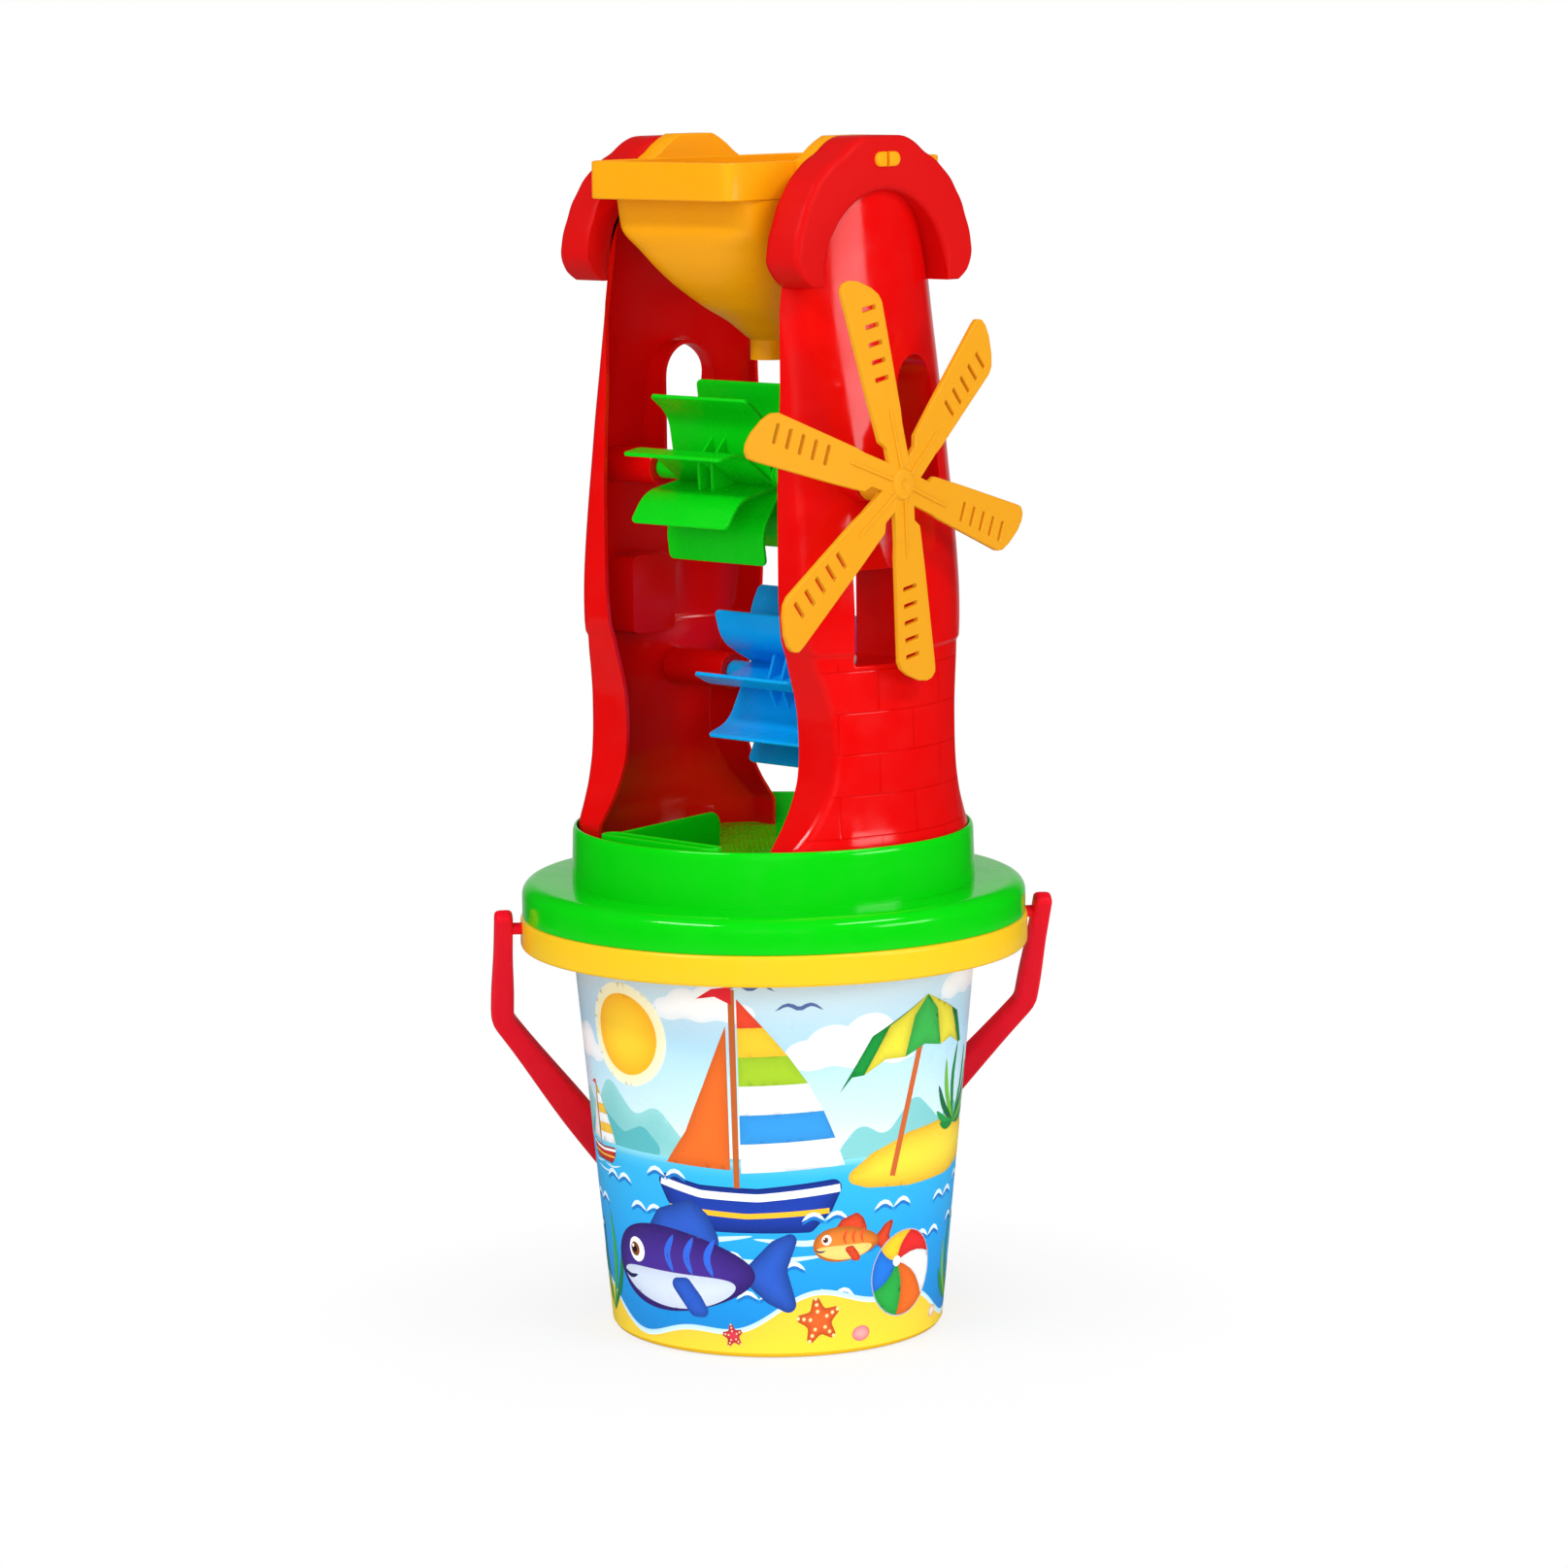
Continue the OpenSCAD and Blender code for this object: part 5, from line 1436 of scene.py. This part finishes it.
def light_the_world(tree):
    """White for the camera, even light on the toy, and for glossy rays a dim room with a pale wall behind the toy."""
    path = wire(tree, "ShaderNodeLightPath").outputs
    seen = combined(tree, "MAXIMUM", path["Is Camera Ray"], path["Is Transmission Ray"])
    way = wire(tree, "ShaderNodeTexCoord").outputs["Generated"]
    behind = wire(tree, "ShaderNodeVectorMath", [(0, way)], operation="DOT_PRODUCT")
    a = math.radians(VIEW_AZIMUTH)
    behind.inputs[1].default_value = (math.sin(a), math.cos(a), 0)
    back_wall = mapped(tree, behind.outputs["Value"], WALL_FROM, 1.0, DIM, PALE)
    plain = wire(tree, "ShaderNodeBackground", Color=WHITE_LIGHT, Strength=PLAIN_LIGHT)
    mirror = wire(tree, "ShaderNodeBackground", [("Strength", back_wall)], Color=WHITE_LIGHT)
    white = wire(tree, "ShaderNodeBackground", Color=WHITE_LIGHT, Strength=1.0)
    both = mixed(tree, seen, mixed(tree, path["Is Glossy Ray"], plain, mirror), white)
    wire(tree, "ShaderNodeOutputWorld", [("Surface", both.outputs[0])])


def lay_paper(tree):
    """White for the camera but for a soft shadow near the toy's foot, and dark grey for glossy rays."""
    path = wire(tree, "ShaderNodeLightPath").outputs
    some = combined(tree, "MULTIPLY", path["Is Glossy Ray"], MIRRORED_SHARE)
    seen = combined(tree, "MAXIMUM", path["Is Camera Ray"], some)
    place = wire(tree, "ShaderNodeTexCoord").outputs["Object"]
    far = wire(tree, "ShaderNodeVectorMath", [(0, place)], operation="LENGTH")
    fade = mapped(tree, far.outputs["Value"], SHADOW_NEAR, SHADOW_FAR, SHADOW_WHITE, 1.0)
    lit = combined(tree, "MULTIPLY", seen, fade)
    tone = wire(tree, "ShaderNodeMix", [(0, path["Is Glossy Ray"])], data_type="RGBA")
    tone.inputs[6].default_value, tone.inputs[7].default_value = PAPER, MIRRORED_PAPER
    matt = wire(tree, "ShaderNodeBsdfDiffuse", [("Color", tone.outputs[2])])
    glow = wire(tree, "ShaderNodeEmission", Color=WHITE_LIGHT, Strength=1.0)
    wire(tree, "ShaderNodeOutputMaterial", [("Surface", mixed(tree, lit, matt, glow).outputs[0])])


def round_floor():
    """A level disc of rings about the origin, just under the toy, with its faces up."""
    r, a = np.array(FLOOR_RINGS)[:, None], circle(128)
    flat, faces = grid(np.stack([r * np.cos(a), r * np.sin(a), 0 * r * a - 0.0002], -1), close_v=True, turn=False)
    mesh = bpy.data.meshes.new("floor")
    mesh.from_pydata(flat.tolist(), [], faces[0].tolist())
    mesh.update()
    if mesh.polygons[0].normal.z < 0:
        mesh.flip_normals()
    return mesh


class SANDTOY_OT_stage(bpy.types.Operator):
    """Set the pale floor, the soft studio light and the camera"""

    bl_idname = "sandtoy.stage"
    bl_label = "Stage"

    def execute(self, context):
        scene = context.scene
        scene.view_settings.view_transform = "Standard"
        scene.world = bpy.data.worlds.new("studio")
        paper = bpy.data.materials.new("paper")
        for holder, fill in ((scene.world, light_the_world), (paper, lay_paper)):
            holder.use_nodes = True
            holder.node_tree.nodes.clear()
            fill(holder.node_tree)
        mesh = round_floor()
        mesh.materials.append(paper)
        floor = bpy.data.objects.new("floor", mesh)
        scene.collection.objects.link(floor)
        for name, (azimuth, elevation, wide, tall, power, mirrored_too) in LAMPS.items():
            data = bpy.data.lights.new(name, "AREA")
            data.shape, data.size, data.size_y, data.energy = "RECTANGLE", wide, tall, power
            obj = bpy.data.objects.new(name, data)
            obj.visible_glossy = mirrored_too
            set_round(obj, azimuth, elevation, LAMP_DISTANCE, LAMP_HEIGHT)
        data = bpy.data.cameras.new("camera")
        data.lens, data.sensor_width, data.shift_x = LENS, SENSOR, SHIFT
        data.clip_start, data.clip_end = 0.05, 50
        camera = bpy.data.objects.new("camera", data)
        set_round(camera, -VIEW_AZIMUTH, VIEW_ELEVATION, VIEW_DISTANCE, VIEW_HEIGHT, VIEW_ROLL)
        scene.camera = camera
        return {"FINISHED"}


STEPS = (SANDTOY_OT_bucket, SANDTOY_OT_print, SANDTOY_OT_handle, SANDTOY_OT_lid, SANDTOY_OT_shells, SANDTOY_OT_hopper,
         SANDTOY_OT_wheels, SANDTOY_OT_sails, SANDTOY_OT_stage)


class SANDTOY_PT_panel(bpy.types.Panel):
    """Buttons for the toy's pieces, and its sizes and colours"""

    bl_label = "Sand Wheel Toy"
    bl_space_type = "VIEW_3D"
    bl_region_type = "UI"
    bl_category = "Sand Toy"

    def draw(self, context):
        for step in STEPS:
            self.layout.operator(step.bl_idname)
        for group in (context.scene.sand_toy_sizes, context.scene.sand_toy_colours):
            box = self.layout.box()
            for key in group.__annotations__:
                box.prop(group, key)


CLASSES = (SandToySizes, SandToyColours, *STEPS, SANDTOY_PT_panel)


def register():
    for cls in CLASSES:
        bpy.utils.register_class(cls)
    bpy.types.Scene.sand_toy_sizes = PointerProperty(type=SandToySizes)
    bpy.types.Scene.sand_toy_colours = PointerProperty(type=SandToyColours)


def unregister():
    del bpy.types.Scene.sand_toy_colours
    del bpy.types.Scene.sand_toy_sizes
    for cls in reversed(CLASSES):
        bpy.utils.unregister_class(cls)


def main():
    register()
    for step in STEPS:
        getattr(bpy.ops.sandtoy, step.bl_idname.split(".")[1])()


if __name__ == "__main__":
    main()
